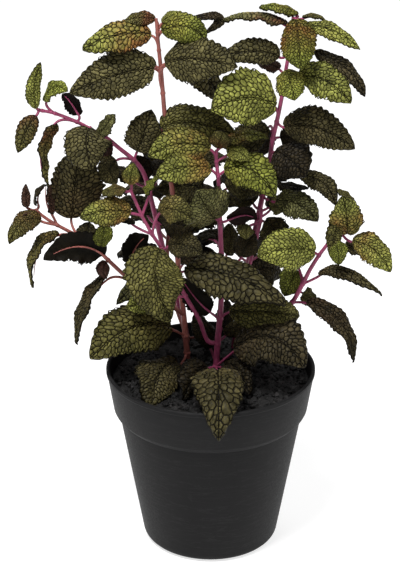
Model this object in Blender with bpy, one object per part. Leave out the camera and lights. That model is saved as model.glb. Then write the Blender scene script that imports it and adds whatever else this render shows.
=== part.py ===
"""A potted mint: a dark tapered pot, the soil in it and six leafy stems.

Metres, +Z up, the origin at the middle of the pot's foot and -Y to the front.
"""
import math
import random

import bmesh
import bpy
from mathutils import Vector
from mathutils.geometry import interpolate_bezier

MM = 0.001

# Pot
POT_HEIGHT = 112.5 * MM
RIM_RADIUS = 62.5 * MM
COLLAR_FOOT_RADIUS = 58.2 * MM
COLLAR_DEPTH = 26.0 * MM
WALL_TOP_RADIUS = 54.9 * MM
SHOULDER_DEPTH = 29.5 * MM
FOOT_RADIUS = 41.3 * MM
FOOT_ROUND = 5.5 * MM
POT_WALL = 2.2 * MM
POT_FLOOR = 3.0 * MM
POT_SIDES = 36

# Soil
SOIL_EDGE_HEIGHT = 103.5 * MM
SOIL_GAP = 0.3 * MM
SOIL_SPOKES = 24
SOIL_RINGS = 7
SOIL_MOUNDS = (
    (0.030, -0.020, 0.018, 0.0042),
    (-0.040, 0.002, 0.014, 0.0030),
    (0.006, 0.030, 0.022, 0.0020),
)

# Stems and leaves
ROOT_DEPTH = 80.0 * MM
HOLE_GAP = 0.4 * MM
STEM_SIDES = 5
TIP_REACH = 1.6 * MM
STALK_RADIUS = 0.8 * MM
STALK_SINK = 0.5 * MM
BLADE_THICKNESS = 0.8 * MM
TOOTH = 0.085
EDGE_WAVE = 0.05
BACK_LEAF_LENGTH = 36.0 * MM
BACK_LEAF_WIDTH = 24.0 * MM

# Sight line: the eye stands in front and above, and looks at a point on the axis
EYE = Vector((-0.00636, -1.0054, 0.6132))
EYE_TARGET = Vector((-0.00636, 0.0, 0.167))


def seen(x, z, depth):
    """A point that the eye sees at (x, z) on the pot's mid plane, moved back by depth, in mm."""
    on_plane = Vector((x, 0.0, z)) * MM
    return EYE + (on_plane - EYE) * (1.0 + depth * MM / -EYE.y)


def clear_scene():
    for thing in list(bpy.data.objects):
        bpy.data.objects.remove(thing, do_unlink=True)


def material(name, colour, roughness, metallic=0.0):
    made = bpy.data.materials.new(name)
    made.use_nodes = True
    shader = made.node_tree.nodes["Principled BSDF"]
    shader.inputs["Base Color"].default_value = (*colour, 1.0)
    shader.inputs["Roughness"].default_value = roughness
    shader.inputs["Metallic"].default_value = metallic
    return made


def object_from(name, bm, look=None):
    bmesh.ops.recalc_face_normals(bm, faces=bm.faces)
    mesh = bpy.data.meshes.new(name)
    bm.to_mesh(mesh)
    bm.free()
    thing = bpy.data.objects.new(name, mesh)
    bpy.context.scene.collection.objects.link(thing)
    if look:
        mesh.materials.append(look)
    return thing


def apply_modifiers(thing):
    bpy.context.view_layer.objects.active = thing
    for modifier in list(thing.modifiers):
        bpy.ops.object.modifier_apply(modifier=modifier.name)


# Pot and soil

def pot_outside():
    """The outer profile, from the foot to the rim, as (radius, height)."""
    points = [(0.0, 0.0)]
    for step in range(4):
        angle = math.radians(-90.0 + 26.0 * step)
        radius = FOOT_RADIUS - FOOT_ROUND + FOOT_ROUND * math.cos(angle)
        points.append((radius, FOOT_ROUND + FOOT_ROUND * math.sin(angle)))
    points.append((WALL_TOP_RADIUS, POT_HEIGHT - SHOULDER_DEPTH))
    points.append((COLLAR_FOOT_RADIUS, POT_HEIGHT - COLLAR_DEPTH))
    points.append((RIM_RADIUS - 0.1 * MM, POT_HEIGHT - 1.0 * MM))
    points.append((RIM_RADIUS - 0.6 * MM, POT_HEIGHT))
    return points


def wall_inside(height):
    """The pot's inner radius at a height."""
    shoulder = POT_HEIGHT - SHOULDER_DEPTH
    collar = POT_HEIGHT - COLLAR_DEPTH
    if height < shoulder:
        share = height / shoulder
        outer = FOOT_RADIUS + (WALL_TOP_RADIUS - FOOT_RADIUS) * share
    elif height < collar:
        share = (height - shoulder) / (collar - shoulder)
        outer = WALL_TOP_RADIUS + (COLLAR_FOOT_RADIUS - WALL_TOP_RADIUS) * share
    else:
        share = (height - collar) / COLLAR_DEPTH
        outer = COLLAR_FOOT_RADIUS + (RIM_RADIUS - COLLAR_FOOT_RADIUS) * share
    return outer - POT_WALL


def revolve(bm, profile, sides):
    """A closed skin round the Z axis. The profile starts and ends on the axis."""
    first = bm.verts.new((0.0, 0.0, profile[0][1]))
    last = bm.verts.new((0.0, 0.0, profile[-1][1]))
    rings = []
    for radius, height in profile[1:-1]:
        ring = []
        for side in range(sides):
            angle = 2.0 * math.pi * side / sides
            ring.append(bm.verts.new((radius * math.cos(angle), radius * math.sin(angle), height)))
        rings.append(ring)
    for side in range(sides):
        after = (side + 1) % sides
        bm.faces.new((first, rings[0][after], rings[0][side]))
        bm.faces.new((last, rings[-1][side], rings[-1][after]))
        for low, high in zip(rings, rings[1:]):
            bm.faces.new((low[side], low[after], high[after], high[side]))


def make_pot():
    shoulder = POT_HEIGHT - SHOULDER_DEPTH
    collar = POT_HEIGHT - COLLAR_DEPTH
    profile = pot_outside()
    profile.append((wall_inside(POT_HEIGHT) + 0.4 * MM, POT_HEIGHT))
    profile.append((wall_inside(POT_HEIGHT) - 0.1 * MM, POT_HEIGHT - 1.0 * MM))
    profile.append((wall_inside(collar), collar))
    profile.append((wall_inside(shoulder), shoulder))
    profile.append((wall_inside(POT_FLOOR), POT_FLOOR))
    profile.append((0.0, POT_FLOOR))
    bm = bmesh.new()
    revolve(bm, profile, POT_SIDES)
    pot = object_from("pot", bm, material("pot_plastic", (0.022, 0.022, 0.024), 0.5))
    pot.data.shade_smooth()
    pot.data.set_sharp_from_angle(angle=math.radians(28.0))
    return pot


def soil_height(x, y):
    """The soil's top: a shallow heap with mounds and small lumps."""
    radius = math.hypot(x, y)
    height = SOIL_EDGE_HEIGHT + 1.5 * MM * (1.0 - (radius / 0.058) ** 2)
    for mound_x, mound_y, spread, lift in SOIL_MOUNDS:
        away = math.hypot(x - mound_x, y - mound_y)
        height += lift * math.exp(-(away / spread) ** 2)
    lumps = math.sin(410.0 * x + 1.3) * math.cos(370.0 * y - 0.4)
    return height + 0.8 * MM * lumps


def make_soil(stems):
    edge = wall_inside(SOIL_EDGE_HEIGHT) - SOIL_GAP
    shoulder = POT_HEIGHT - SHOULDER_DEPTH
    collar = POT_HEIGHT - COLLAR_DEPTH
    floor = POT_FLOOR + SOIL_GAP
    bm = bmesh.new()
    lower = [(0.0, floor)]
    for height in (floor, shoulder - 0.1 * MM, collar - 0.1 * MM, SOIL_EDGE_HEIGHT - 2.0 * MM):
        lower.append((wall_inside(height) - SOIL_GAP, height))
    upper = []
    for ring in range(SOIL_RINGS):
        upper.append((edge * (1.0 - ring / SOIL_RINGS), SOIL_EDGE_HEIGHT))
    upper.append((0.0, SOIL_EDGE_HEIGHT))
    revolve(bm, lower + upper, SOIL_SPOKES)
    for vert in bm.verts:
        if vert.co.z > SOIL_EDGE_HEIGHT - 1.0 * MM:
            vert.co.z = soil_height(vert.co.x, vert.co.y)
    bmesh.ops.triangulate(bm, faces=bm.faces)
    soil = object_from("soil", bm, material("potting_soil", (0.018, 0.017, 0.018), 0.9))

    # Each stem stands in a plain blind hole
    for number, stem in enumerate(stems):
        foot = root_point(stem["routes"][0][0])
        radius = stem["radius"] + HOLE_GAP
        depth = 50.0 * MM
        bpy.ops.mesh.primitive_cylinder_add(vertices=10, radius=radius, depth=depth)
        cutter = bpy.context.object
        cutter.name = f"hole_{number}"
        cutter.location = foot + Vector((0.0, 0.0, depth / 2.0 - SOIL_GAP))
        cut = soil.modifiers.new(cutter.name, "BOOLEAN")
        cut.operation = "DIFFERENCE"
        cut.object = cutter
        bpy.context.view_layer.update()
        apply_modifiers(soil)
        bpy.data.objects.remove(cutter, do_unlink=True)
    return soil


# Leaves

def half_width(t):
    """An egg-shaped outline with a rounded foot and a blunt point, 1 at its widest."""
    if t <= 0.0 or t >= 1.0:
        return 0.0
    if t < 0.4:
        return (1.0 - (1.0 - t / 0.4) ** 2) ** 0.55
    return (1.0 - ((t - 0.4) / 0.6) ** 2.1) ** 0.8


def blade_normal(middle, heading, turn):
    """The upper face's direction. Turn 0 faces the eye and +90 degrees faces the sky."""
    to_eye = (EYE - middle).normalized()
    facing = (to_eye - heading * to_eye.dot(heading)).normalized()
    across = heading.cross(facing)
    if across.dot(Vector((0.25, 0.0, 1.0))) < 0.0:
        across = -across
    angle = math.radians(turn)
    return (facing * math.cos(angle) + across * math.sin(angle)).normalized()


def leaf_shape(leaf):
    """A function that gives the blade's surface point and its normal at (t, s)."""
    base, middle, tip = leaf["base"], leaf["middle"], leaf["tip"]
    control = middle * 2.0 - (base + tip) * 0.5
    mid_normal = blade_normal(middle, (tip - base).normalized(), leaf["turn"])
    fold = math.radians(leaf["fold"])
    half = leaf["width"] * 0.5
    wave = random.Random(leaf["seed"]).uniform(0.0, 6.28)

    def surface(t, s):
        on_rib = base * (1 - t) ** 2 + control * (2 * t * (1 - t)) + tip * t ** 2
        heading = ((control - base) * (1 - t) + (tip - control) * t).normalized()
        normal = (mid_normal - heading * mid_normal.dot(heading)).normalized()
        side = heading.cross(normal)
        reach = half * half_width(t) * abs(s)
        rise = reach * math.sin(fold) - 0.22 * reach * abs(s)
        rise += EDGE_WAVE * half * math.sin(9.0 * t + wave + (2.0 if s > 0 else 0.0)) * s * s
        sign = 1.0 if s > 0 else -1.0
        return on_rib + side * (sign * reach * math.cos(fold)) + normal * rise, normal, side

    return surface


def leaf_mesh(leaf):
    """The leafstalk and the toothed blade as one closed skin.

    Every ring has six corners: left edge, rib and right edge above, and the same below.
    """
    surface = leaf_shape(leaf)
    length = (leaf["middle"] - leaf["base"]).length + (leaf["tip"] - leaf["middle"]).length
    stations = 3 if length < 38.0 * MM else 4 if length < 55.0 * MM else 5
    bm = bmesh.new()
    foot, foot_normal, foot_side = surface(0.0, 0.0)
    heading = foot_normal.cross(foot_side)
    draw = random.Random(leaf["seed"] + " joint")
    aside = Vector([draw.uniform(-0.2, 0.2) * MM for _ in range(3)])
    start = leaf["joint"] + aside + (foot - leaf["joint"]).normalized() * STALK_SINK
    reach = (foot - start).length
    bend = foot - heading * (0.4 * reach)
    straight = (foot - start).normalized().dot(heading) > 0.5
    steps = 1 if reach < 9.0 * MM and straight else 2
    rings = []
    for step in range(steps + 1):
        t = step / steps
        centre = start * (1 - t) ** 2 + bend * (2 * t * (1 - t)) + foot * t ** 2
        along = ((bend - start) * (1 - t) + (foot - bend) * t).normalized()
        side = (foot_side - along * foot_side.dot(along)).normalized()
        up = side.cross(along)
        r = STALK_RADIUS
        corners = ((-r, 0.5 * r), (0.0, r), (r, 0.5 * r), (r, -0.5 * r), (0.0, -r), (-r, -0.5 * r))
        rings.append([bm.verts.new(centre + side * a + up * b) for a, b in corners])
    bm.faces.new(rings[0])
    for low, high in zip(rings, rings[1:]):
        for corner in range(6):
            after = (corner + 1) % 6
            bm.faces.new((low[corner], low[after], high[after], high[corner]))

    def pair(t, s):
        point, normal, _ = surface(t, s)
        skin = normal * (BLADE_THICKNESS * 0.5)
        return bm.verts.new(point + skin), bm.verts.new(point - skin)

    last = rings[-1]
    rib = [(last[1], last[4])]
    edges = {-1: [(last[0], last[5])], 1: [(last[2], last[3])]}
    for station in range(1, stations + 1):
        rib.append(pair(station / stations, 0.0))
        for side in (-1, 1):
            middle_t = (station - 0.42) / stations
            edges[side].append(pair(middle_t, side * (1.0 + TOOTH)))
            if station < stations:
                edges[side].append(pair(station / stations, side * (1.0 - TOOTH)))
            else:
                edges[side].append(rib[-1])
    for side in (-1, 1):
        edge = edges[side]
        for face in (0, 1):
            for station in range(stations):
                rib_low, rib_high = rib[station][face], rib[station + 1][face]
                low, peak, high = (edge[2 * station + step][face] for step in range(3))
                bm.faces.new((rib_low, low, peak))
                bm.faces.new((rib_low, peak, rib_high))
                if high is not rib_high:
                    bm.faces.new((rib_high, peak, high))
        for (top_low, under_low), (top_high, under_high) in zip(edge, edge[1:]):
            bm.faces.new((top_low, top_high, under_high, under_low))
    bmesh.ops.triangulate(bm, faces=bm.faces)
    return bm


# Stems

def root_point(first):
    """The root's lower end, plumb below the first point of the route."""
    top = seen(*first)
    return Vector((top.x, top.y, ROOT_DEPTH))


def route_points(route, has_root):
    """A smooth line through the route, with a point added in each long stretch."""
    knots = [seen(*point) for point in route]
    line = [root_point(route[0]), knots[0]] if has_root else [knots[0]]
    for number in range(len(knots) - 1):
        here, there = knots[number], knots[number + 1]
        before = knots[number - 1] if number else here * 2.0 - there
        beyond = knots[number + 2] if number + 2 < len(knots) else there * 2.0 - here
        leave, arrive = (there - before) / 6.0, (beyond - here) / 6.0
        if (there - here).length > 13.0 * MM:
            line.append(interpolate_bezier(here, here + leave, there - arrive, there, 3)[1])
        line.append(there)
    line[-1] = line[-1] + (line[-1] - line[-2]).normalized() * TIP_REACH
    return line


def sweep(bm, line, start_radius, end_radius, sides):
    rings = []
    for number, centre in enumerate(line):
        before = line[max(number - 1, 0)]
        beyond = line[min(number + 1, len(line) - 1)]
        along = (beyond - before).normalized()
        across = along.cross(Vector((0.31, 0.95, 0.05))).normalized()
        up = across.cross(along)
        share = number / (len(line) - 1)
        radius = start_radius + (end_radius - start_radius) * share
        if number == 1:
            radius = start_radius
        ring = []
        for side in range(sides):
            angle = 2.0 * math.pi * side / sides
            ring.append(bm.verts.new(centre + (across * math.cos(angle) + up * math.sin(angle)) * radius))
        rings.append(ring)
    bm.faces.new(rings[0])
    bm.faces.new(rings[-1])
    for low, high in zip(rings, rings[1:]):
        for side in range(sides):
            after = (side + 1) % sides
            bm.faces.new((low[side], low[after], high[after], high[side]))


def leaf_list(stem):
    """The stem's leaves with their places worked out."""
    leaves = []
    for number, row in enumerate(stem["leaves"]):
        (route, point), base, middle, tip, width, turn, fold = row
        leaves.append({
            "joint": seen(*stem["routes"][route][point]),
            "base": seen(*base),
            "middle": seen(*middle),
            "tip": seen(*tip),
            "width": width * MM,
            "turn": turn,
            "fold": fold,
            "seed": f"{stem['name']} {number}",
        })
    for route, first, last in stem.get("back", ()):
        leaves += back_leaves(stem, route, first, last)
    return leaves


def back_leaves(stem, route, first, last):
    """Crossed pairs on the side that the eye doesn't see, smaller towards the top."""
    draw = random.Random(f"{stem['name']} back {route}")
    leaves = []
    for point in range(first, last + 1):
        joint = seen(*stem["routes"][route][point])
        size = 1.0 - 0.35 * (point - first) / (last - first + 1)
        first_heading = 55.0 + 70.0 * (point % 2) + draw.uniform(-12.0, 12.0)
        for heading in (first_heading, first_heading + 90.0 * (1 - 2 * (point % 2))):
            angle = math.radians(heading)
            out = Vector((math.cos(angle), math.sin(angle), 0.0))
            rise = draw.uniform(0.10, 0.22)
            length = BACK_LEAF_LENGTH * size * draw.uniform(0.9, 1.1)
            base = joint + out * (9.0 * MM) + Vector((0.0, 0.0, 4.0 * MM))
            middle = base + out * (length * 0.5) + Vector((0.0, 0.0, length * rise))
            tip = base + out * (length * 0.96) - Vector((0.0, 0.0, length * 0.12))
            leaves.append({
                "joint": joint,
                "base": base,
                "middle": middle,
                "tip": tip,
                "width": BACK_LEAF_WIDTH * size,
                "turn": 66.0,
                "fold": 0.0,
                "seed": f"{stem['name']} {route} {point} {heading:.0f}",
            })
    return leaves


def make_stem(stem, look):
    """One body: the stem, its branches and its leaves, joined by a union."""
    bm = bmesh.new()
    sweep(bm, route_points(stem["routes"][0], True), stem["radius"], 0.9 * MM, STEM_SIDES)
    thing = object_from(stem["name"], bm, look)
    repeats = bpy.data.collections.new(f"{stem['name']}_repeats")
    bpy.context.scene.collection.children.link(repeats)
    pieces = []
    for route in stem["routes"][1:]:
        bm = bmesh.new()
        sweep(bm, route_points(route, False), 1.4 * MM, 0.9 * MM, STEM_SIDES)
        pieces.append(bm)
    for leaf in leaf_list(stem):
        pieces.append(leaf_mesh(leaf))
    for number, bm in enumerate(pieces):
        piece = object_from(f"{stem['name']}_{number}", bm)
        bpy.context.scene.collection.objects.unlink(piece)
        repeats.objects.link(piece)
    union = thing.modifiers.new("union", "BOOLEAN")
    union.operation = "UNION"
    union.operand_type = "COLLECTION"
    union.solver = "MANIFOLD"
    union.collection = repeats
    bpy.context.view_layer.update()
    apply_modifiers(thing)
    for piece in list(repeats.objects):
        bpy.data.objects.remove(piece, do_unlink=True)
    bpy.data.collections.remove(repeats)
    return thing


# A route is a list of (x, z, depth) as the eye sees it. A leaf names its (route, point), then
# its foot, middle and tip, its width, the turn of its upper face and how far it folds up.
STEM_LEFT_TALL = {
    "name": "stem_left_tall",
    "radius": 1.9 * MM,
    "routes": [
        [(-14, 121, 22), (-15, 132, 21), (-16, 146, 21), (-19, 176, 20), (-21, 210, 19),
         (-25, 252, 18), (-27.2, 283, 17), (-28.2, 297, 16), (-29.2, 308, 15), (-30, 318, 14),
         (-30.5, 325, 14)],
        [(-16, 146, 21), (-25, 153, 14), (-36, 160, 7), (-47, 168, 1), (-60, 181, -4),
         (-67, 189, -6), (-77, 196, -6), (-89, 203, -6), (-95, 207, -6), (-101, 212, -6)],
    ],
    "leaves": [
        ((0, 0), (-19, 114, 8), (-31, 107, -18), (-34, 84, -42), 27, 0, 0),
        ((0, 1), (-23, 138, 10), (-46, 138, -8), (-73, 117, -22), 32, 20, 0),
        ((0, 1), (-9, 133, 28), (-1, 135, 34), (9, 132, 40), 16, 60, 0),
        ((0, 3), (-26, 176, 20), (-39, 170, 21), (-57, 152, 24), 15, 10, 0),
        ((0, 5), (-28, 262, 14), (-10, 265.5, 13), (15, 257, 17), 23, 10, 0),
        ((0, 5), (-30, 256, 24), (-38, 258, 32), (-47, 252, 38), 20, 50, 0),
        ((0, 7), (-35, 300, 20), (-50, 292, 28), (-62, 284, 34), 20, 60, 0),
        ((0, 7), (-18, 301, 21), (-4, 293, 27), (7, 277, 34), 17, 20, 0),
        ((0, 6), (-31.5, 297.5, 12), (-53, 294, 2), (-80, 283, -4), 26, 5, 0),
        ((0, 6), (-26.5, 301, 8), (-9, 303, -1), (14, 298, -9), 25, 10, 0),
        ((0, 8), (-33, 317, 12), (-53, 316.5, 6), (-72.5, 309, 2), 19, 20, 0),
        ((0, 8), (-28, 319, 13), (-14, 321.5, 9), (-3, 314, 5), 18, 20, 0),
        ((0, 9), (-31, 325.5, 16), (-40, 326.5, 15), (-49, 324.5, 14), 9, 35, 0),
        ((0, 9), (-11, 326, 18), (5, 327, 17), (-5, 317, 14), 7, 60, 0),
        ((0, 9), (-27.5, 324, 15), (-22.5, 327.5, 16), (-16.5, 329.5, 17), 6, 30, 0),
        ((1, 3), (-48, 179, 5), (-44.5, 189, 8), (-37, 198, 11), 17, 150, 0),
        ((1, 3), (-61, 170, -4), (-73, 153.5, -12), (-80.5, 126, -20), 14, 60, 20),
        ((1, 4), (-61, 180, -6), (-63, 175, -9), (-61, 169, -11), 8, 0, 0),
        ((1, 5), (-62, 184, -9), (-78, 190, -14), (-98, 181.5, -20), 19, 165, 0),
        ((1, 5), (-68, 191, 0), (-71, 197, 4), (-70, 205, 9), 17, 10, 0),
        ((1, 5), (-64, 190, -11), (-62.5, 197, -15), (-61.5, 205, -18), 11, 10, 0),
        ((1, 6), (-80.5, 207, 1), (-78, 228, 4), (-76, 249, 7), 31, 0, 0),
        ((1, 6), (-88, 198, -8), (-101, 187, -14), (-105.5, 163, -22), 13, 60, 20),
        ((1, 7), (-91, 210, -6), (-94, 219, -8), (-93, 229, -10), 9, 60, 25),
        ((1, 7), (-98, 206, -10), (-108.5, 205, -16), (-118, 191, -22), 13, 20, 0),
        ((1, 9), (-100.5, 215, -3), (-100, 222, -3), (-95, 228.5, -5), 7, 70, 20),
        ((1, 9), (-106, 214, -8), (-106.5, 220, -9), (-106, 228.5, -9), 5.5, 10, 0),
        ((1, 9), (-104, 211, -7), (-108, 210.5, -10), (-113, 206, -13), 7, 60, 0),
    ],
}

STEM_CENTRE = {
    "name": "stem_centre",
    "radius": 2.0 * MM,
    "routes": [
        [(3.4, 112, 8), (4, 127, 8), (5.3, 143, 8), (6.5, 165, 9), (6, 185, 9), (5.2, 205, 8),
         (4.7, 222, 7), (4, 233, 6), (3, 242, 6), (3, 248, 6)],
        [(4, 127, 8), (-2, 129, 6), (-7, 143, 3), (-15, 158, -1), (-22, 173, -4), (-28, 187, -7),
         (-34, 197, -9), (-37, 203, -10), (-40, 209, -11), (-46, 224, -12)],
    ],
    "leaves": [
        ((0, 0), (4, 105, -14), (4.6, 103, -46), (5, 61, -77), 30, 0, 0),
        ((0, 0), (-2, 111, 0), (-10, 106, -18), (-15, 90, -36), 18, -10, 0),
        ((0, 0), (8, 112, 2), (16, 110, -16), (23, 93, -34), 17, 0, 0),
        ((0, 0), (13, 123, -6), (36, 131, -26), (57, 110, -38), 33, 15, 0),
        ((0, 1), (8, 133, 14), (20, 140, 18), (33, 140, 22), 18, 50, 0),
        ((0, 2), (0, 147.5, 5), (-9, 157, 5), (-17, 170, 9), 15, 170, 0),
        ((0, 2), (10.5, 148, 3), (33, 147.5, -12), (52, 145, -20), 23, 5, 0),
        ((0, 4), (2, 195, 14), (-7, 196, 20), (-18, 192, 26), 13, 80, 0),
        ((0, 5), (3, 206, 2), (-2, 213, -8), (-7, 223, -14), 31, 0, 0),
        ((0, 5), (9, 207, 5), (18, 210, 8), (26, 209, 11), 15, 130, 0),
        ((0, 6), (9, 226, 10), (18, 228, 14), (30, 223, 16), 18, 30, 0),
        ((0, 6), (-5, 226, 15), (-18, 228, 30), (-32, 225, 34), 20, 15, 0),
        ((0, 7), (0, 238, 1), (-15, 239, -8), (-31, 233, -16), 20, 10, 0),
        ((0, 7), (7, 237, 3), (23, 237, -4), (38, 220, -10), 23, 20, 0),
        ((0, 8), (0, 250, 3), (-18, 253, -2), (-36, 245, -8), 20, 10, 0),
        ((0, 8), (9, 247, 5), (15, 248, 1), (22, 243, -3), 12, 30, 0),
        ((0, 9), (6, 253, 7), (18, 258, 8), (33, 257, 10), 12, 65, 0),
        ((0, 9), (4, 250, 4), (5, 255, 1), (7, 260, -1), 12, 0, 0),
        ((1, 3), (-22, 157, -3), (-37, 155, -8), (-50, 150, -12), 16, 10, 0),
        ((1, 3), (-16, 175, -8), (12, 171, -18), (45, 153, -29), 27, 35, 0),
        ((1, 5), (-29, 189, -13), (-32, 166, -27), (-21, 140, -26), 33, 0, 0),
        ((1, 5), (-25, 190, -11), (-15, 190.5, -16), (-5, 185, -20), 15, 10, 0),
        ((1, 6), (-44, 204, -5), (-54, 208, 0), (-65, 206, 4), 12, 80, 0),
        ((1, 6), (-30, 206, -4), (-21, 203.5, 3), (-8, 204, 10), 15, 30, 0),
        ((1, 6), (-30, 211, -14), (-22, 213, -19), (-11, 207, -22), 17, 0, 0),
        ((1, 8), (-46, 211, -15), (-60, 212, -21), (-75.5, 208, -27), 17, 10, 0),
        ((1, 8), (-37, 221, -8), (-34.5, 226, -8), (-30, 233, -8), 11, 60, 25),
        ((1, 9), (-46, 228, -14), (-46, 234, -17), (-44, 241, -19), 10, 0, 0),
        ((1, 9), (-49, 225, -13), (-56, 225, -15), (-63, 221.5, -17), 10, 60, 0),
        ((0, 0), (0, 124, 14), (-5, 136, 22), (-9, 149, 32), 12, 10, 0),
        ((0, 1), (7, 138, 18), (9, 146, 25), (10, 156, 31), 11, 10, 0),
    ],
}

STEM_UPPER_LEFT = {
    "name": "stem_upper_left",
    "radius": 1.7 * MM,
    "routes": [
        [(-14.5, 125, 38), (-15.5, 140, 36), (-24, 172, 30), (-31, 203, 24), (-36, 226, 17),
         (-39, 236, 13), (-44, 243, 10), (-52, 250, 8), (-60, 257, 6), (-68, 261.5, 4), (-76, 266, 2),
         (-88, 271, 0), (-97, 273, -2)],
    ],
    "leaves": [
        ((0, 6), (-54, 243, 7), (-58, 237, 5), (-54, 229.5, 1), 15, 10, 0),
        ((0, 6), (-42, 248, 9), (-38.5, 258, 11), (-34, 273, 14), 21, 0, 0),
        ((0, 9), (-64, 258, 2), (-59, 264, 0), (-55, 270.5, -2), 11, 40, 20),
        ((0, 9), (-69, 263, -2), (-71, 252, -9), (-68, 237, -15), 27, 0, 0),
        ((0, 9), (-64, 256, 8), (-61, 249, 9), (-60, 240, 10), 11, 10, 0),
        ((0, 10), (-74, 270, 4), (-78.5, 277.5, 5), (-83, 283, 7), 10, 150, 0),
        ((0, 10), (-87, 265, -2), (-96, 249, -8), (-93, 227, -14), 11, 60, 20),
        ((0, 11), (-94, 278, -1), (-88, 286.5, -3), (-80.5, 284, -5), 11, 45, 0),
        ((0, 12), (-98.5, 274, -4), (-99.5, 287, -6), (-95, 300.5, -8), 9, 10, 0),
        ((0, 12), (-99, 270, -6), (-105, 260, -12), (-110, 247.5, -18), 11, 10, 0),
        ((0, 4), (-38, 230, 17), (-40, 238, 17), (-43, 246, 18), 14, 10, 0),
    ],
    "back": [(0, 2, 4)],
}

STEM_RIGHT_TALL = {
    "name": "stem_right_tall",
    "radius": 1.9 * MM,
    "routes": [
        [(14, 125, 36), (17, 150, 34), (22, 180, 31), (27, 207, 27), (29.5, 221, 22), (32, 235, 17),
         (33.5, 244, 15), (35, 256, 13), (37, 266, 11), (39.5, 280, 10), (41, 292, 9), (43, 306, 8),
         (44.5, 318, 7), (45, 326, 7)],
        [(17, 150, 34), (20, 163, 28), (23, 180, 22), (26, 193, 18), (28.5, 205, 15), (29, 212, 14)],
        [(20, 163, 28), (16.5, 171, 22), (13.3, 178, 17)],
    ],
    "leaves": [
        ((0, 3), (31, 206, 20), (37, 199, 12), (38, 186, 6), 18, 5, 0),
        ((0, 4), (37, 218, 14), (50, 216, 6), (62, 205, 0), 17, 10, 0),
        ((0, 6), (36, 249, 9), (45.5, 243, 1), (54, 233, -5), 25, 15, 0),
        ((0, 6), (50, 234, 12), (64.5, 228.5, 6), (72, 215, 2), 12, 30, 0),
        ((0, 8), (33, 261, 18), (19, 256.5, 24), (2, 254, 29), 18, 20, 0),
        ((0, 8), (37, 275, 6), (19.5, 280.5, -3), (0.5, 272, -11), 32, 5, 0),
        ((0, 8), (41, 263, 6), (60, 262.5, -1), (82, 249.5, -8), 22, 5, 0),
        ((0, 10), (42, 297, 3), (44.5, 288.5, -6), (47, 279, -12), 17, 0, 0),
        ((0, 11), (57, 307, 6), (75.5, 296.5, 1), (87, 281, -4), 11, 30, 0),
        ((0, 10), (49.5, 293, 2), (64.5, 290, -9), (79, 277, -16), 20, 10, 0),
        ((0, 10), (38, 297, 13), (33, 299.5, 17), (26, 300, 22), 8, 30, 0),
        ((0, 11), (38, 304, 11), (24, 307.5, 10), (3, 304, 10), 15, 15, 0),
        ((0, 12), (46.5, 326, 1), (48.5, 311, -8), (49.5, 297, -14), 20, 0, 0),
        ((0, 12), (52, 322, 4), (67, 319, 0), (83, 308.5, -4), 10, 35, 0),
        ((0, 12), (42, 323, 9), (25, 328.5, 9), (6, 325.5, 9), 13, 60, 0),
        ((0, 13), (48, 328.5, 8), (37, 332.5, 8), (26, 333, 8), 8, 55, 0),
        ((0, 13), (50, 327, 7), (58, 327.8, 8), (64, 324, 8), 5, 75, 0),
        ((1, 1), (24, 171, 26), (33, 176, 32), (43, 171, 38), 22, 30, 0),
        ((1, 4), (22, 203, 12), (20.5, 200, 9), (21, 194, 6), 11, 0, 0),
        ((1, 5), (24, 216, 20), (19, 220, 24), (11, 218, 28), 14, 20, 0),
        ((1, 5), (34, 214, 15), (38, 215, 19), (43, 213, 24), 10, 20, 0),
        ((2, 2), (9.5, 184, 19), (11, 194, 25), (11, 204, 29), 13, 20, 0),
        ((2, 2), (18, 183, 15), (20.5, 190, 14), (25, 198, 15), 15, 10, 0),
        ((0, 7), (39, 257, 16), (47, 255.5, 18), (57, 249, 20), 15, 20, 0),
        ((0, 5), (37, 229, 20), (45, 227, 20), (56, 227, 20), 8, 60, 0),
        ((0, 7), (32, 262, 24), (28, 254, 30), (27, 243, 35), 15, 10, 0),
    ],
    "back": [(0, 2, 4)],
}

STEM_RIGHT_LOW = {
    "name": "stem_right_low",
    "radius": 1.7 * MM,
    "routes": [
        [(21, 112, 4), (30, 130, 0), (40, 145, -3), (48, 154, -6), (54, 166, -8), (58, 175, -9),
         (63, 184, -10), (67, 190, -11), (71, 197, -12), (74, 202, -12)],
    ],
    "leaves": [
        ((0, 3), (56, 154, -9), (76, 141, -15), (86, 114, -21), 13, 40, 15),
        ((0, 3), (54, 160, -3), (58, 157, -1), (63, 152, 1), 10, 15, 0),
        ((0, 4), (50, 175, -2), (47, 167, -4), (43.5, 157, -6), 15, 0, 0),
        ((0, 4), (63, 172, -10), (79, 173, -16), (101, 158, -22), 10, 50, 0),
        ((0, 6), (61, 186, -14), (45.5, 188.5, -20), (27, 183, -24), 25, 5, 0),
        ((0, 8), (72, 193, -18), (74, 186, -23), (74.5, 177.5, -25), 11, 0, 0),
        ((0, 9), (79, 197, -15), (78.5, 208, -19), (76, 220.5, -19), 19, 0, 0),
        ((0, 9), (74, 204, -15), (71.5, 196, -19), (71, 181, -21), 10, 25, 0),
        ((0, 9), (82, 193, -15), (95, 187.5, -19), (105.5, 173, -24), 17, 10, 0),
        ((0, 9), (78, 191, -9), (83.5, 188.5, -8), (90, 185, -7), 9, 45, 0),
        ((0, 9), (81, 213, -9), (78.5, 221, -6), (72, 224.5, -4), 8, 50, 0),
    ],
}

STEM_BACK_LEFT = {
    "name": "stem_back_left",
    "radius": 1.6 * MM,
    "routes": [
        [(-14, 132, 48), (-20, 150, 52), (-25, 172, 55), (-25, 194, 58), (-22, 214, 60),
         (-19, 232, 61), (-18, 246, 61)],
    ],
    "leaves": [],
    "back": [(0, 3, 6)],
}

STEMS = (STEM_LEFT_TALL, STEM_CENTRE, STEM_UPPER_LEFT, STEM_RIGHT_TALL, STEM_RIGHT_LOW,
         STEM_BACK_LEFT)


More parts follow.
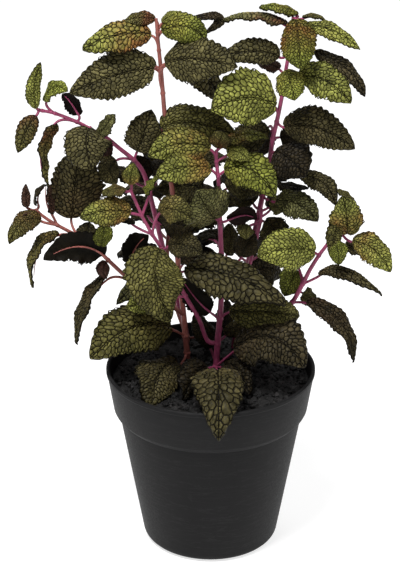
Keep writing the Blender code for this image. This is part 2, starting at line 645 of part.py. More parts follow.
def main():
    clear_scene()
    make_pot()
    make_soil(STEMS)
    leaf_look = material("mint_leaf", (0.075, 0.085, 0.030), 0.6)
    for stem in STEMS:
        make_stem(stem, leaf_look)


if __name__ == "__main__":
    main()
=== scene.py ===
import math
import random

import bmesh
import bpy
import numpy as np
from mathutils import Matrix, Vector
from mathutils.geometry import delaunay_2d_cdt, interpolate_bezier


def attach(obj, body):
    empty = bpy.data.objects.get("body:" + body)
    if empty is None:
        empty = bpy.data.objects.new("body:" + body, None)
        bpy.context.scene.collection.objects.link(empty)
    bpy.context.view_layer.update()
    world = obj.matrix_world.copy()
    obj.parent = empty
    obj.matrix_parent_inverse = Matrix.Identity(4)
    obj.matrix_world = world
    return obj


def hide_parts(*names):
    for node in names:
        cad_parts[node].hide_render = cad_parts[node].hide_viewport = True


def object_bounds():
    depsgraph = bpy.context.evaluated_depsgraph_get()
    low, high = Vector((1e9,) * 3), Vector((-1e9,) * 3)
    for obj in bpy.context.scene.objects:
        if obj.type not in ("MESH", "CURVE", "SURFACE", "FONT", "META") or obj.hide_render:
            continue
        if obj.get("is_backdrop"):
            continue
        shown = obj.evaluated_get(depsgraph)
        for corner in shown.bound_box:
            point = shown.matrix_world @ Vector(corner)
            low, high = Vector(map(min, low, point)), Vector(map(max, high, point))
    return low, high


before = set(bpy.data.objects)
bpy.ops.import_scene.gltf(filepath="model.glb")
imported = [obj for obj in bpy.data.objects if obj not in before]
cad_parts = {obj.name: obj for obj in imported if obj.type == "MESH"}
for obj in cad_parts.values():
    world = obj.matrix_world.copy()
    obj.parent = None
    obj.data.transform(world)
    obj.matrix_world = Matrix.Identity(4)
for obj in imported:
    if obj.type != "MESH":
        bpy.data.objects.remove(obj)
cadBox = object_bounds()


def report(words):
    print("mint:", words)


def selectNothing():
    bpy.ops.object.select_all(action="DESELECT")


def selectOnly(thing):
    selectNothing()
    thing.select_set(True)
    bpy.context.view_layer.objects.active = thing


def editMode():
    bpy.ops.object.mode_set(mode="EDIT")


def objectMode():
    bpy.ops.object.mode_set(mode="OBJECT")


def applyModifier(thing, name):
    selectOnly(thing)
    bpy.ops.object.modifier_apply(modifier=name)


def joinAll(things):
    selectNothing()
    for thing in things:
        thing.select_set(True)
    bpy.context.view_layer.objects.active = things[0]
    bpy.ops.object.join()
    return bpy.context.object


def standFor(thing, node):
    # keeps a finished piece on the pot's body in place of its plain solid
    thing.name = node + "_fine"
    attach(thing, "root")
    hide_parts(node)


# camera and light
shot = {
    "eye": (-0.00636, -1.0054, 0.6132),
    "target": (-0.00636, 0.0, 0.167),
    "lens": 119.68,
    "floorColour": (0.5, 0.5, 0.5, 1.0),
    "floorGlow": 0.72,
    "lamps": [
        {"at": (-0.35, -0.6, 1.6), "size": 0.45, "power": 27.0},
        {"at": (0.9, -0.5, 1.4), "size": 0.8, "power": 7.0},
        {"at": (0.0, 0.9, 1.6), "size": 1.0, "power": 8.0},
    ],
    "skyStrength": 0.16,
}


def aimAt(thing, target):
    towards = Vector(target) - thing.location
    thing.rotation_euler = towards.to_track_quat("-Z", "Y").to_euler()


selectNothing()
bpy.ops.object.camera_add(location=shot["eye"])
camera = bpy.context.object
camera.data.lens = shot["lens"]
camera.data.sensor_width = 36.0
camera.data.clip_start = 0.01
aimAt(camera, shot["target"])
bpy.context.scene.camera = camera

for lamp in shot["lamps"]:
    bpy.ops.object.light_add(type="AREA", location=lamp["at"])
    light = bpy.context.object
    light.data.size = lamp["size"]
    light.data.energy = lamp["power"]
    aimAt(light, (0.0, 0.0, 0.15))

sky = bpy.data.worlds.new("paleRoom")
sky.use_nodes = True
skyNode = sky.node_tree.nodes["Background"]
skyNode.inputs["Color"].default_value = (1.0, 1.0, 1.0, 1.0)
skyNode.inputs["Strength"].default_value = shot["skyStrength"]
bpy.context.scene.world = sky
bpy.context.scene.view_settings.view_transform = "Standard"


# materials
def newGroup(name, inputs, outputs):
    group = bpy.data.node_groups.new(name, "ShaderNodeTree")
    for label, kind, value in inputs:
        socket = group.interface.new_socket(label, in_out="INPUT", socket_type=kind)
        if value is not None:
            socket.default_value = value
    for label, kind in outputs:
        group.interface.new_socket(label, in_out="OUTPUT", socket_type=kind)
    return group, group.nodes.new("NodeGroupInput"), group.nodes.new("NodeGroupOutput")


def wire(tree, source, sourceSocket, target, targetSocket):
    tree.links.new(source.outputs[sourceSocket], target.inputs[targetSocket])


def mathNode(tree, operation, first, second=None, clamp=False):
    node = tree.nodes.new("ShaderNodeMath")
    node.operation = operation
    node.use_clamp = clamp
    for place, value in enumerate((first, second)):
        if value is None:
            continue
        if isinstance(value, (int, float)):
            node.inputs[place].default_value = value
        else:
            tree.links.new(value, node.inputs[place])
    return node.outputs[0]


def mixNode(tree, factor, first, second, blend="MIX"):
    node = tree.nodes.new("ShaderNodeMix")
    node.data_type = "RGBA"
    node.blend_type = blend
    for socket, value in ((node.inputs[0], factor), (node.inputs[6], first), (node.inputs[7], second)):
        if isinstance(value, (int, float)):
            socket.default_value = value
        elif isinstance(value, tuple):
            socket.default_value = (*value, 1.0)
        else:
            tree.links.new(value, socket)
    return node.outputs[2]


def makeMottle():
    # soft blotches of light and dark, as on anything grown or moulded; on the leaves they also carry painted shade
    group, start, end = newGroup("mottle", [
        ("Vector", "NodeSocketVector", None),
        ("Scale", "NodeSocketFloat", 80.0),
        ("Darkest", "NodeSocketFloat", 0.7),
        ("Lightest", "NodeSocketFloat", 1.2),
    ], [("Shade", "NodeSocketFloat"), ("Mask", "NodeSocketFloat")])
    noise = group.nodes.new("ShaderNodeTexNoise")
    noise.inputs["Detail"].default_value = 4.0
    noise.inputs["Roughness"].default_value = 0.6
    wire(group, start, "Vector", noise, "Vector")
    wire(group, start, "Scale", noise, "Scale")
    spread = group.nodes.new("ShaderNodeMapRange")
    spread.inputs["From Min"].default_value = 0.3
    spread.inputs["From Max"].default_value = 0.7
    group.links.new(noise.outputs[0], spread.inputs["Value"])
    wire(group, start, "Darkest", spread, "To Min")
    wire(group, start, "Lightest", spread, "To Max")
    wire(group, spread, 0, end, "Shade")
    mask = group.nodes.new("ShaderNodeMapRange")
    mask.inputs["From Min"].default_value = 0.42
    mask.inputs["From Max"].default_value = 0.62
    group.links.new(noise.outputs[0], mask.inputs["Value"])
    wire(group, mask, 0, end, "Mask")
    return group


def makeGrain():
    # fine crumbly relief for a bump
    group, start, end = newGroup("grain", [
        ("Vector", "NodeSocketVector", None),
        ("Scale", "NodeSocketFloat", 1500.0),
    ], [("Height", "NodeSocketFloat")])
    noise = group.nodes.new("ShaderNodeTexNoise")
    noise.inputs["Detail"].default_value = 3.0
    wire(group, start, "Vector", noise, "Vector")
    wire(group, start, "Scale", noise, "Scale")
    group.links.new(noise.outputs[0], end.inputs["Height"])
    return group


mottle = makeMottle()
grain = makeGrain()


def useGroup(tree, group, vector, **values):
    node = tree.nodes.new("ShaderNodeGroup")
    node.node_tree = group
    tree.links.new(vector, node.inputs["Vector"])
    for label, value in values.items():
        node.inputs[label].default_value = value
    return node


def newMaterial(name, roughness, **settings):
    made = bpy.data.materials.new(name)
    made.use_nodes = True
    tree = made.node_tree
    skin = tree.nodes["Principled BSDF"]
    skin.inputs["Roughness"].default_value = roughness
    for label, value in settings.items():
        skin.inputs[label.replace("_", " ")].default_value = value
    place = tree.nodes.new("ShaderNodeTexCoord").outputs["Object"]
    return made, tree, skin, place


def attributeNode(tree, name):
    node = tree.nodes.new("ShaderNodeAttribute")
    node.attribute_name = name
    return node


def addBump(tree, skin, height, strength, distance):
    bump = tree.nodes.new("ShaderNodeBump")
    bump.inputs["Strength"].default_value = strength
    bump.inputs["Distance"].default_value = distance
    tree.links.new(height, bump.inputs["Height"])
    tree.links.new(bump.outputs["Normal"], skin.inputs["Normal"])


def greyColour(tree, shade, colour):
    # a fixed colour times a shade
    return mixNode(tree, 1.0, colour, shade, "MULTIPLY")


def fillAttribute(mesh, name, kind, values):
    made = mesh.attributes.new(name, kind, "POINT")
    made.data.foreach_set("value" if kind == "FLOAT" else "color", np.asarray(values, np.float32).ravel())


# pot
pot = {
    "sides": 128,
    "height": 0.1125,
    "foot": 0.0413,
    "footRound": 0.0055,
    "wallTop": (0.0549, 0.0830),
    "collarFoot": (0.0582, 0.0865),
    "rim": 0.0625,
    "wall": 0.0019,
    "floor": 0.003,
    "bevel": 0.0005,
    "colour": (0.0112, 0.0110, 0.0113),
}


def potProfile():
    points = []
    for step in range(7):
        angle = math.radians(-90.0 + 13.0 * step)
        reach = pot["foot"] - pot["footRound"] + pot["footRound"] * math.cos(angle)
        points.append((reach, pot["footRound"] + pot["footRound"] * math.sin(angle)))
    points.append(pot["wallTop"])
    points.append((pot["collarFoot"][0] - 0.0004, pot["collarFoot"][1] - 0.0004))
    points.append((pot["collarFoot"][0] + 0.0001, pot["collarFoot"][1] + 0.0006))
    points.append((pot["rim"] - 0.0006, pot["height"] - 0.0030))
    points.append((pot["rim"], pot["height"] - 0.0022))
    points.append((pot["rim"], pot["height"] - 0.0006))
    points.append((pot["rim"] - 0.0007, pot["height"]))
    points.append((pot["rim"] - 0.0016, pot["height"]))
    points.append((pot["rim"] - 0.0022, pot["height"] - 0.0006))
    points.append((pot["collarFoot"][0] - pot["wall"], pot["collarFoot"][1]))
    points.append((pot["wallTop"][0] - pot["wall"], pot["wallTop"][1]))
    points.append((pot["foot"] - pot["wall"], pot["floor"]))
    return points


def makePot():
    # one disc pulled up the outside, over the rim and down the inside
    profile = potProfile()
    selectNothing()
    bpy.ops.mesh.primitive_circle_add(vertices=pot["sides"], radius=profile[0][0], fill_type="NGON")
    thing = bpy.context.object
    editMode()
    bpy.ops.mesh.select_all(action="SELECT")
    for (reach, height), (nextReach, nextHeight) in zip(profile, profile[1:]):
        bpy.ops.mesh.extrude_region_move(TRANSFORM_OT_translate={"value": (0.0, 0.0, nextHeight - height)})
        if abs(nextReach - reach) > 1e-7:
            share = nextReach / reach
            bpy.ops.transform.resize(value=(share, share, 1.0), center_override=(0.0, 0.0, 0.0))
    bpy.ops.mesh.select_all(action="SELECT")
    bpy.ops.mesh.normals_make_consistent(inside=False)
    objectMode()
    bpy.ops.object.shade_smooth_by_angle(angle=math.radians(24.0))
    return thing


def potMaterial():
    made, tree, skin, place = newMaterial("potPlastic", 0.55, Specular_IOR_Level=0.09)
    blotch = useGroup(tree, mottle, place, Scale=22.0, Darkest=0.9, Lightest=1.12)
    specks = useGroup(tree, mottle, place, Scale=900.0, Darkest=0.82, Lightest=1.2)
    shade = mathNode(tree, "MULTIPLY", blotch.outputs["Shade"], specks.outputs["Shade"])
    # thin pale scuffs in wide arcs round the wall
    spread = tree.nodes.new("ShaderNodeMapping")
    spread.inputs["Scale"].default_value = (1.0, 1.0, 9.0)
    tree.links.new(place, spread.inputs["Vector"])
    scuffs = useGroup(tree, mottle, spread.outputs[0], Scale=30.0, Darkest=0.0, Lightest=1.0)
    thin = mathNode(tree, "SUBTRACT", 1.0, mathNode(tree, "ABSOLUTE", mathNode(tree, "SUBTRACT", scuffs.outputs["Shade"], 0.5)))
    thin = mathNode(tree, "POWER", thin, 42.0, True)
    base = greyColour(tree, shade, pot["colour"])
    tree.links.new(mixNode(tree, mathNode(tree, "MULTIPLY", thin, 0.22), base, (0.045, 0.045, 0.045)), skin.inputs["Base Color"])
    rough = mathNode(tree, "MULTIPLY", specks.outputs["Shade"], 0.55)
    tree.links.new(rough, skin.inputs["Roughness"])
    relief = useGroup(tree, grain, place, Scale=2600.0)
    addBump(tree, skin, relief.outputs["Height"], 0.18, 0.0002)
    return made


potFine = makePot()
potFine.data.materials.append(potMaterial())
standFor(potFine, "pot")
report("pot done")


# soil
soil = {
    "edgeHeight": 0.1035,
    "edge": 0.0588,
    "mounds": ((0.030, -0.020, 0.018, 0.0042), (-0.042, -0.004, 0.014, 0.0042), (0.006, 0.030, 0.022, 0.0020)),
    "rings": 44,
    "spokes": 132,
    "grains": 1700,
    "grainSize": (0.0006, 0.0027),
}


def soilHeight(x, y):
    reach = math.hypot(x, y)
    height = soil["edgeHeight"] + 0.0015 * (1.0 - (reach / 0.058) ** 2)
    for moundX, moundY, spread, lift in soil["mounds"]:
        away = math.hypot(x - moundX, y - moundY)
        height += lift * math.exp(-(away / spread) ** 2)
    return height + 0.0008 * math.sin(410.0 * x + 1.3) * math.cos(370.0 * y - 0.4)


def makeSoil():
    # a filled disc, drawn down to the pot's floor, with its top heaped and crumbled
    draw = random.Random(41)
    selectNothing()
    bpy.ops.mesh.primitive_circle_add(vertices=soil["spokes"], radius=soil["edge"], fill_type="TRIFAN",
                                      location=(0.0, 0.0, soil["edgeHeight"]))
    top = bpy.context.object
    bpy.ops.object.transform_apply(location=True, rotation=True, scale=True)
    shaped = bmesh.new()
    shaped.from_mesh(top.data)
    spokes = [edge for edge in shaped.edges if not edge.is_boundary]
    bmesh.ops.subdivide_edges(shaped, edges=spokes, cuts=soil["rings"], use_grid_fill=True)
    for vert in shaped.verts:
        x, y = vert.co.x, vert.co.y
        crumb = draw.uniform(-0.0008, 0.0008)
        vert.co.z = soilHeight(x, y) + (0.0 if vert.is_boundary else crumb)
    # the side goes down inside the pot
    rim = [edge for edge in shaped.edges if edge.is_boundary]
    pulled = bmesh.ops.extrude_edge_only(shaped, edges=rim)
    for vert in pulled["geom"]:
        if isinstance(vert, bmesh.types.BMVert):
            reach = math.hypot(vert.co.x, vert.co.y)
            vert.co.x *= 0.0385 / reach
            vert.co.y *= 0.0385 / reach
            vert.co.z = 0.0035
    bmesh.ops.holes_fill(shaped, edges=[edge for edge in shaped.edges if edge.is_boundary])
    bmesh.ops.recalc_face_normals(shaped, faces=shaped.faces)
    shaped.to_mesh(top.data)
    shaped.free()
    top.data.shade_smooth()
    fillAttribute(top.data, "crumbTone", "FLOAT", [1.0] * len(top.data.vertices))
    return top


def makeGrains():
    # crumbs of bark and peat, one rough lump copied all over the heap
    draw = random.Random(77)
    selectNothing()
    bpy.ops.mesh.primitive_ico_sphere_add(subdivisions=1, radius=1.0)
    lump = bpy.context.object
    points = np.array([vert.co for vert in lump.data.vertices])
    faces = [tuple(face.vertices) for face in lump.data.polygons]
    verts, polygons, tones = [], [], []
    for number in range(soil["grains"]):
        reach = 0.0575 * math.sqrt(draw.random())
        angle = draw.uniform(0.0, 2.0 * math.pi)
        x, y = reach * math.cos(angle), reach * math.sin(angle)
        size = soil["grainSize"][0] + (soil["grainSize"][1] - soil["grainSize"][0]) * draw.random() ** 2.6
        stretch = np.array([size * draw.uniform(0.7, 1.5), size * draw.uniform(0.6, 1.1), size * draw.uniform(0.45, 0.9)])
        turn, tilt = draw.uniform(0.0, 6.28), draw.uniform(-0.6, 0.6)
        rough = points * (1.0 + np.array([draw.uniform(-0.28, 0.28) for _ in points])[:, None]) * stretch
        spin = np.array([[math.cos(turn), -math.sin(turn), 0.0], [math.sin(turn), math.cos(turn), 0.0], [0.0, 0.0, 1.0]])
        lean = np.array([[1.0, 0.0, 0.0], [0.0, math.cos(tilt), -math.sin(tilt)], [0.0, math.sin(tilt), math.cos(tilt)]])
        placed = rough @ lean.T @ spin.T + np.array([x, y, soilHeight(x, y) + 0.25 * size])
        start = len(verts)
        verts.extend(placed.tolist())
        polygons.extend([tuple(start + corner for corner in face) for face in faces])
        tones.extend([0.5 + 3.4 * draw.random() ** 2.5] * len(points))
    lump.data.clear_geometry()
    lump.data.from_pydata(verts, [], polygons)
    lump.data.update()
    fillAttribute(lump.data, "crumbTone", "FLOAT", tones)
    return lump


def soilMaterial():
    made, tree, skin, place = newMaterial("pottingSoil", 0.55, Specular_IOR_Level=0.3)
    blotch = useGroup(tree, mottle, place, Scale=240.0, Darkest=0.35, Lightest=1.7)
    fine = useGroup(tree, mottle, place, Scale=2100.0, Darkest=0.3, Lightest=1.8)
    shade = mathNode(tree, "MULTIPLY", blotch.outputs["Shade"], fine.outputs["Shade"])
    shade = mathNode(tree, "MULTIPLY", shade, attributeNode(tree, "crumbTone").outputs["Fac"])
    base = greyColour(tree, shade, (0.0075, 0.0070, 0.0069))
    # a few pale flecks: painted sparkle highlights
    paintedSparkle = mathNode(tree, "GREATER_THAN", useGroup(tree, mottle, place, Scale=1500.0, Darkest=0.0, Lightest=1.0).outputs["Shade"], 0.97)
    tree.links.new(mixNode(tree, mathNode(tree, "MULTIPLY", paintedSparkle, 0.35), base, (0.10, 0.09, 0.09)), skin.inputs["Base Color"])
    addBump(tree, skin, fine.outputs["Shade"], 0.5, 0.0006)
    return made


soilFine = joinAll([makeSoil(), makeGrains()])
soilFine.data.materials.append(soilMaterial())
standFor(soilFine, "soil")
report("soil done")


# leaves
leafForm = {
    "lean": 0.27,          # how far a side vein runs forward on its way to the edge
    "tooth": 0.075,        # how far the teeth stand out
    "notch": 0.035,        # how far the notches cut in
    "rowsPerVein": 2.0,    # rows of cells from one main side vein to the next
    "edgeWave": 0.05,
    "halfThickness": 0.0003,
    "quilt": 0.40,         # bulge between the main side veins, as a share of a cell
    "pillow": 0.13,
    "plate": 0.14,         # how far each cell's plate stands above the net        # lift of each cell, as a share of a cell
    "stalk": 0.00078,
}
blankSizes = {             # cells are a share of the leaf's length; teeth on each side
    "small": {"cell": 0.078, "teeth": 8},
    "middle": {"cell": 0.062, "teeth": 11},
    "large": {"cell": 0.050, "teeth": 14},
}
blankAspects = (2.6, 3.6, 5.2)    # length over half width


def halfWidth(t):
    if t <= 0.0 or t >= 1.0:
        return 0.0
    if t < 0.4:
        return (1.0 - (1.0 - t / 0.4) ** 2) ** 0.55
    return (1.0 - ((t - 0.4) / 0.6) ** 2.1) ** 0.8


def edgePoint(teeth, tooth, share, aspect, size):
    # a point on the toothed edge, share of the way from one notch to the next
    along = 0.012 + 0.97 * (tooth + share) / teeth
    out = (leafForm["tooth"] * size + leafForm["notch"]) * math.sin(math.pi * share ** 1.5) - leafForm["notch"]
    return halfWidth(along) * (1.0 + out) / aspect, along


def netSites(cell, aspect, teeth, draw):
    # the outer loop of one half, counter-clockwise, with the edge's points between its sites
    loop, between = [(0.0, 0.0)], [[(halfWidth(0.008) / aspect, 0.008)]]
    for tooth in range(teeth):
        size = draw.uniform(0.55, 1.05)
        between[-1].append(edgePoint(teeth, tooth, 0.0, aspect, size))
        between[-1].append(edgePoint(teeth, tooth, 0.14, aspect, size))
        loop.append(edgePoint(teeth, tooth, 0.28, aspect, size))
        between.append([edgePoint(teeth, tooth, share, aspect, size) for share in (0.39, 0.5, 0.62)])
        loop.append(edgePoint(teeth, tooth, 0.74, aspect, size))
        between.append([edgePoint(teeth, tooth, 0.87, aspect, size)])
    between[-1].append((halfWidth(0.982) * 0.95 / aspect, 0.982))
    between[-1].append((halfWidth(0.992) * 0.95 / aspect, 0.992))
    loop.append((0.0, 1.0))
    steps = round(1.0 / cell)
    for step in range(steps - 1, 0, -1):
        between.append([(0.0, (step + 0.5) / steps)])
        loop.append((0.0, step / steps))
    between.append([(0.0, 0.5 / steps)])
    # rows of cells that follow the side veins
    inside = []
    lean = leafForm["lean"]
    for row in range(-int(lean / cell) - 1, steps + 1):
        start = 0.55 if row % 2 else 1.0
        for place in range(int(1.0 / (cell * aspect)) + 2):
            x = (start + place) * cell * 1.04 + draw.uniform(-0.3, 0.3) * cell
            along = (row + 0.5) * cell + lean * (x * aspect) ** 1.25 + draw.uniform(-0.14, 0.14) * cell
            if not 0.02 < along < 0.98 or x < 0.42 * cell:
                continue
            if x > halfWidth(along) / aspect - 0.52 * cell:
                continue
            inside.append((x, along))
    return loop, between, inside


def netCells(loop, between, inside):
    # each site's cell is bounded by the middles of the triangles round it
    sites = [Vector(point) for point in loop + inside]
    edges = [(number, (number + 1) % len(loop)) for number in range(len(loop))]
    points, _, triangles, origins, _, _ = delaunay_2d_cdt(sites, edges, [], 1, 1e-6)
    where = {}
    for number, olds in enumerate(origins):
        for old in olds:
            where[number] = old
    around = {}
    for triangle in triangles:
        middle = (points[triangle[0]] + points[triangle[1]] + points[triangle[2]]) / 3.0
        for corner in triangle:
            around.setdefault(where.get(corner, -1), []).append(middle)
    cells = []
    for number, site in enumerate(sites):
        middles = around.get(number, [])
        if number >= len(loop):
            if len(middles) < 3:
                continue
            middles.sort(key=lambda m: math.atan2(m.y - site.y, m.x - site.x))
            cells.append([(m.x, m.y) for m in middles])
            continue
        before, after = between[number - 1], between[number]
        before, after = before[len(before) // 2:], after[:len(after) // 2 + 1]
        first = Vector(after[-1]) - site
        start = math.atan2(first.y, first.x) - 0.001
        middles.sort(key=lambda m: (math.atan2(m.y - site.y, m.x - site.x) - start) % (2.0 * math.pi))
        cells.append(before + [tuple(site)] + after + [(m.x, m.y) for m in middles])
    return cells


def veinPhase(x, y, cell, aspect):
    # whole numbers lie on the main side veins
    return (y - leafForm["lean"] * (abs(x) * aspect) ** 1.25) / cell / leafForm["rowsPerVein"]


def mainVein(x, y, cell, aspect):
    # 0 on a main side vein or on the rib, 1 well away from it
    phase = veinPhase(x, y, cell, aspect)
    away = min(abs(phase - round(phase)) / 0.2, abs(x) / (1.2 * cell), 1.0)
    return away * away * (3.0 - 2.0 * away)


def quiltHeight(x, y, cell, aspect):
    phase = veinPhase(x, y, cell, aspect)
    fade = 1.0 - 0.5 * min(1.0, abs(x) * aspect)
    return leafForm["quilt"] * cell * abs(math.sin(math.pi * phase)) ** 0.7 * fade


def makeBlank(sizeName, aspect):
    # a flat leaf one unit long: a net of cells, given a back, then each cell poked up like a pillow
    size = blankSizes[sizeName]
    cell = size["cell"]
    draw = random.Random(f"{sizeName} {aspect}")
    keys, corners, faces = {}, [], []
    for side in (1, -1):
        loop, between, inside = netSites(cell, aspect, size["teeth"], draw)
        if side == 1:
            firstLoop, firstBetween = loop, between
        for outline in netCells(firstLoop, firstBetween, inside):
            face = []
            for x, y in outline:
                key = (round(x * side, 6), round(y, 6))
                if key not in keys:
                    keys[key] = len(corners)
                    corners.append((x * side, y, quiltHeight(x, y, cell, aspect)))
                if keys[key] not in face:
                    face.append(keys[key])
            if len(face) > 2:
                faces.append(face if side == 1 else face[::-1])
    selectNothing()
    bpy.ops.mesh.primitive_plane_add()
    blank = bpy.context.object
    blank.name = f"blank_{sizeName}_{aspect}"
    blank.data.clear_geometry()
    blank.data.from_pydata(corners, [], faces)
    blank.data.update()
    back = blank.modifiers.new("back", "SOLIDIFY")
    back.thickness = 0.01
    back.offset = -1.0
    back.use_even_offset = False
    applyModifier(blank, "back")
    skinCount = len(blank.data.vertices)
    selectFaces(blank, 0.4, 1.01)
    bpy.ops.mesh.inset(thickness=0.16 * cell, depth=leafForm["plate"] * cell, use_individual=True,
                       use_even_offset=False)
    objectMode()
    plateCount = len(blank.data.vertices)
    editMode()
    bpy.ops.mesh.poke(offset=leafForm["pillow"] * cell)
    objectMode()
    places = np.array([vert.co for vert in blank.data.vertices])
    total = len(places)
    under = np.zeros(total)
    under[skinCount // 2:skinCount] = 1.0
    relief = np.zeros(total)
    for number in range(skinCount // 2):
        relief[number] = -0.3 * (1.0 - mainVein(*places[number][:2], cell, aspect))
    relief[skinCount:plateCount] = 0.8
    relief[plateCount:] = 1.0
    for face in blank.data.polygons:
        face.material_index = 1 if all(under[corner] > 0.5 for corner in face.vertices) else 0
    blank.data.shade_smooth()
    blank.hide_render = True
    return {"object": blank, "places": places, "under": under, "relief": relief, "aspect": aspect}


def selectFaces(thing, lowest, highest):
    selectOnly(thing)
    editMode()
    bpy.ops.mesh.select_mode(type="FACE")
    bpy.ops.mesh.select_all(action="DESELECT")
    objectMode()
    for face in thing.data.polygons:
        face.select = lowest <= face.normal.z <= highest
    editMode()


blanks = {}


def blankFor(length, half):
    sizeName = "small" if length < 0.026 else "middle" if length < 0.044 else "large"
    aspect = min(blankAspects, key=lambda a: abs(math.log(a * half / length)))
    if (sizeName, aspect) not in blanks:
        blanks[sizeName, aspect] = makeBlank(sizeName, aspect)
    return blanks[sizeName, aspect]


# tones of the raised cells, of the net between them and of the leaf's back
leafLooks = {
    "light": ((0.196, 0.204, 0.045), (0.017, 0.015, 0.003), (0.080, 0.058, 0.032)),
    "lime": ((0.150, 0.165, 0.028), (0.016, 0.015, 0.003), (0.065, 0.052, 0.023)),
    "grey": ((0.120, 0.118, 0.042), (0.012, 0.010, 0.003), (0.050, 0.035, 0.025)),
    "olive": ((0.098, 0.090, 0.026), (0.009, 0.007, 0.002), (0.050, 0.030, 0.022)),
    "khaki": ((0.082, 0.072, 0.028), (0.007, 0.005, 0.0015), (0.045, 0.026, 0.022)),
    "brown": ((0.062, 0.053, 0.021), (0.005, 0.0038, 0.0013), (0.040, 0.022, 0.019)),
    "dark": ((0.040, 0.032, 0.015), (0.003, 0.0021, 0.001), (0.024, 0.013, 0.012)),
    # painted shade: a darker copy of the dark look, for leaves inside and behind the bush
    "shadedDark": ((0.020, 0.015, 0.007), (0.002, 0.0014, 0.0007), (0.012, 0.007, 0.006)),
    "maroon": ((0.060, 0.030, 0.022), (0.006, 0.003, 0.002), (0.060, 0.022, 0.024)),
    "rusty": ((0.090, 0.050, 0.032), (0.010, 0.0045, 0.003), (0.060, 0.028, 0.026)),
}


def leafMaterial(name, raisedName, roughness):
    made, tree, skin, place = newMaterial(name, roughness, Specular_IOR_Level=0.1)
    relief = attributeNode(tree, "relief").outputs["Fac"]
    rust = attributeNode(tree, "rust").outputs["Fac"]
    # the raised tone carries each cell's painted glint as well as its colour
    raised = attributeNode(tree, raisedName).outputs["Color"]
    groove = attributeNode(tree, "grooveTone").outputs["Color"]
    ramp = tree.nodes.new("ShaderNodeMapRange")
    ramp.interpolation_type = "SMOOTHSTEP"
    ramp.inputs["From Min"].default_value = 0.05
    ramp.inputs["From Max"].default_value = 0.85
    tree.links.new(relief, ramp.inputs["Value"])
    base = mixNode(tree, ramp.outputs[0], groove, raised)
    # random blotches of tone across the blade, also standing in for painted shade and painted glints on the cells
    wide = useGroup(tree, mottle, place, Scale=75.0, Darkest=0.5, Lightest=1.4)
    fine = useGroup(tree, mottle, place, Scale=520.0, Darkest=0.6, Lightest=1.4)
    base = mixNode(tree, 1.0, base, mathNode(tree, "MULTIPLY", wide.outputs["Shade"], fine.outputs["Shade"]), "MULTIPLY")
    redness = mathNode(tree, "MULTIPLY", rust, mathNode(tree, "ADD", wide.outputs["Mask"], 0.35), True)
    redTone = mixNode(tree, 1.0, base, (0.82, 0.36, 0.50), "MULTIPLY")
    tree.links.new(mixNode(tree, redness, base, redTone), skin.inputs["Base Color"])
    rough = mathNode(tree, "SUBTRACT", roughness, mathNode(tree, "MULTIPLY", ramp.outputs[0], 0.14))
    tree.links.new(rough, skin.inputs["Roughness"])
    crumple = useGroup(tree, grain, place, Scale=1900.0)
    height = mathNode(tree, "ADD", ramp.outputs[0], mathNode(tree, "MULTIPLY", crumple.outputs["Height"], 0.5))
    addBump(tree, skin, height, 0.75, 0.0006)
    return made


def stemMaterial(name, colour, roughness):
    made, tree, skin, place = newMaterial(name, roughness, Specular_IOR_Level=0.3)
    stretch = tree.nodes.new("ShaderNodeMapping")
    stretch.inputs["Scale"].default_value = (1.0, 1.0, 0.22)
    tree.links.new(place, stretch.inputs["Vector"])
    streak = useGroup(tree, mottle, stretch.outputs[0], Scale=900.0, Darkest=0.7, Lightest=1.3)
    blotch = useGroup(tree, mottle, place, Scale=90.0, Darkest=0.65, Lightest=1.3)
    shade = mathNode(tree, "MULTIPLY", streak.outputs["Shade"], blotch.outputs["Shade"])
    tree.links.new(greyColour(tree, shade, colour), skin.inputs["Base Color"])
    addBump(tree, skin, streak.outputs["Shade"], 0.2, 0.0003)
    return made


leafFace = leafMaterial("leafFace", "raisedToneAndPaintedGlint", 0.56)
leafBack = leafMaterial("leafBack", "backTone", 0.66)
stemSkins = {
    "crimson": stemMaterial("stemCrimson", (0.300, 0.052, 0.120), 0.42),
    "salmon": stemMaterial("stemSalmon", (0.310, 0.098, 0.080), 0.42),
}


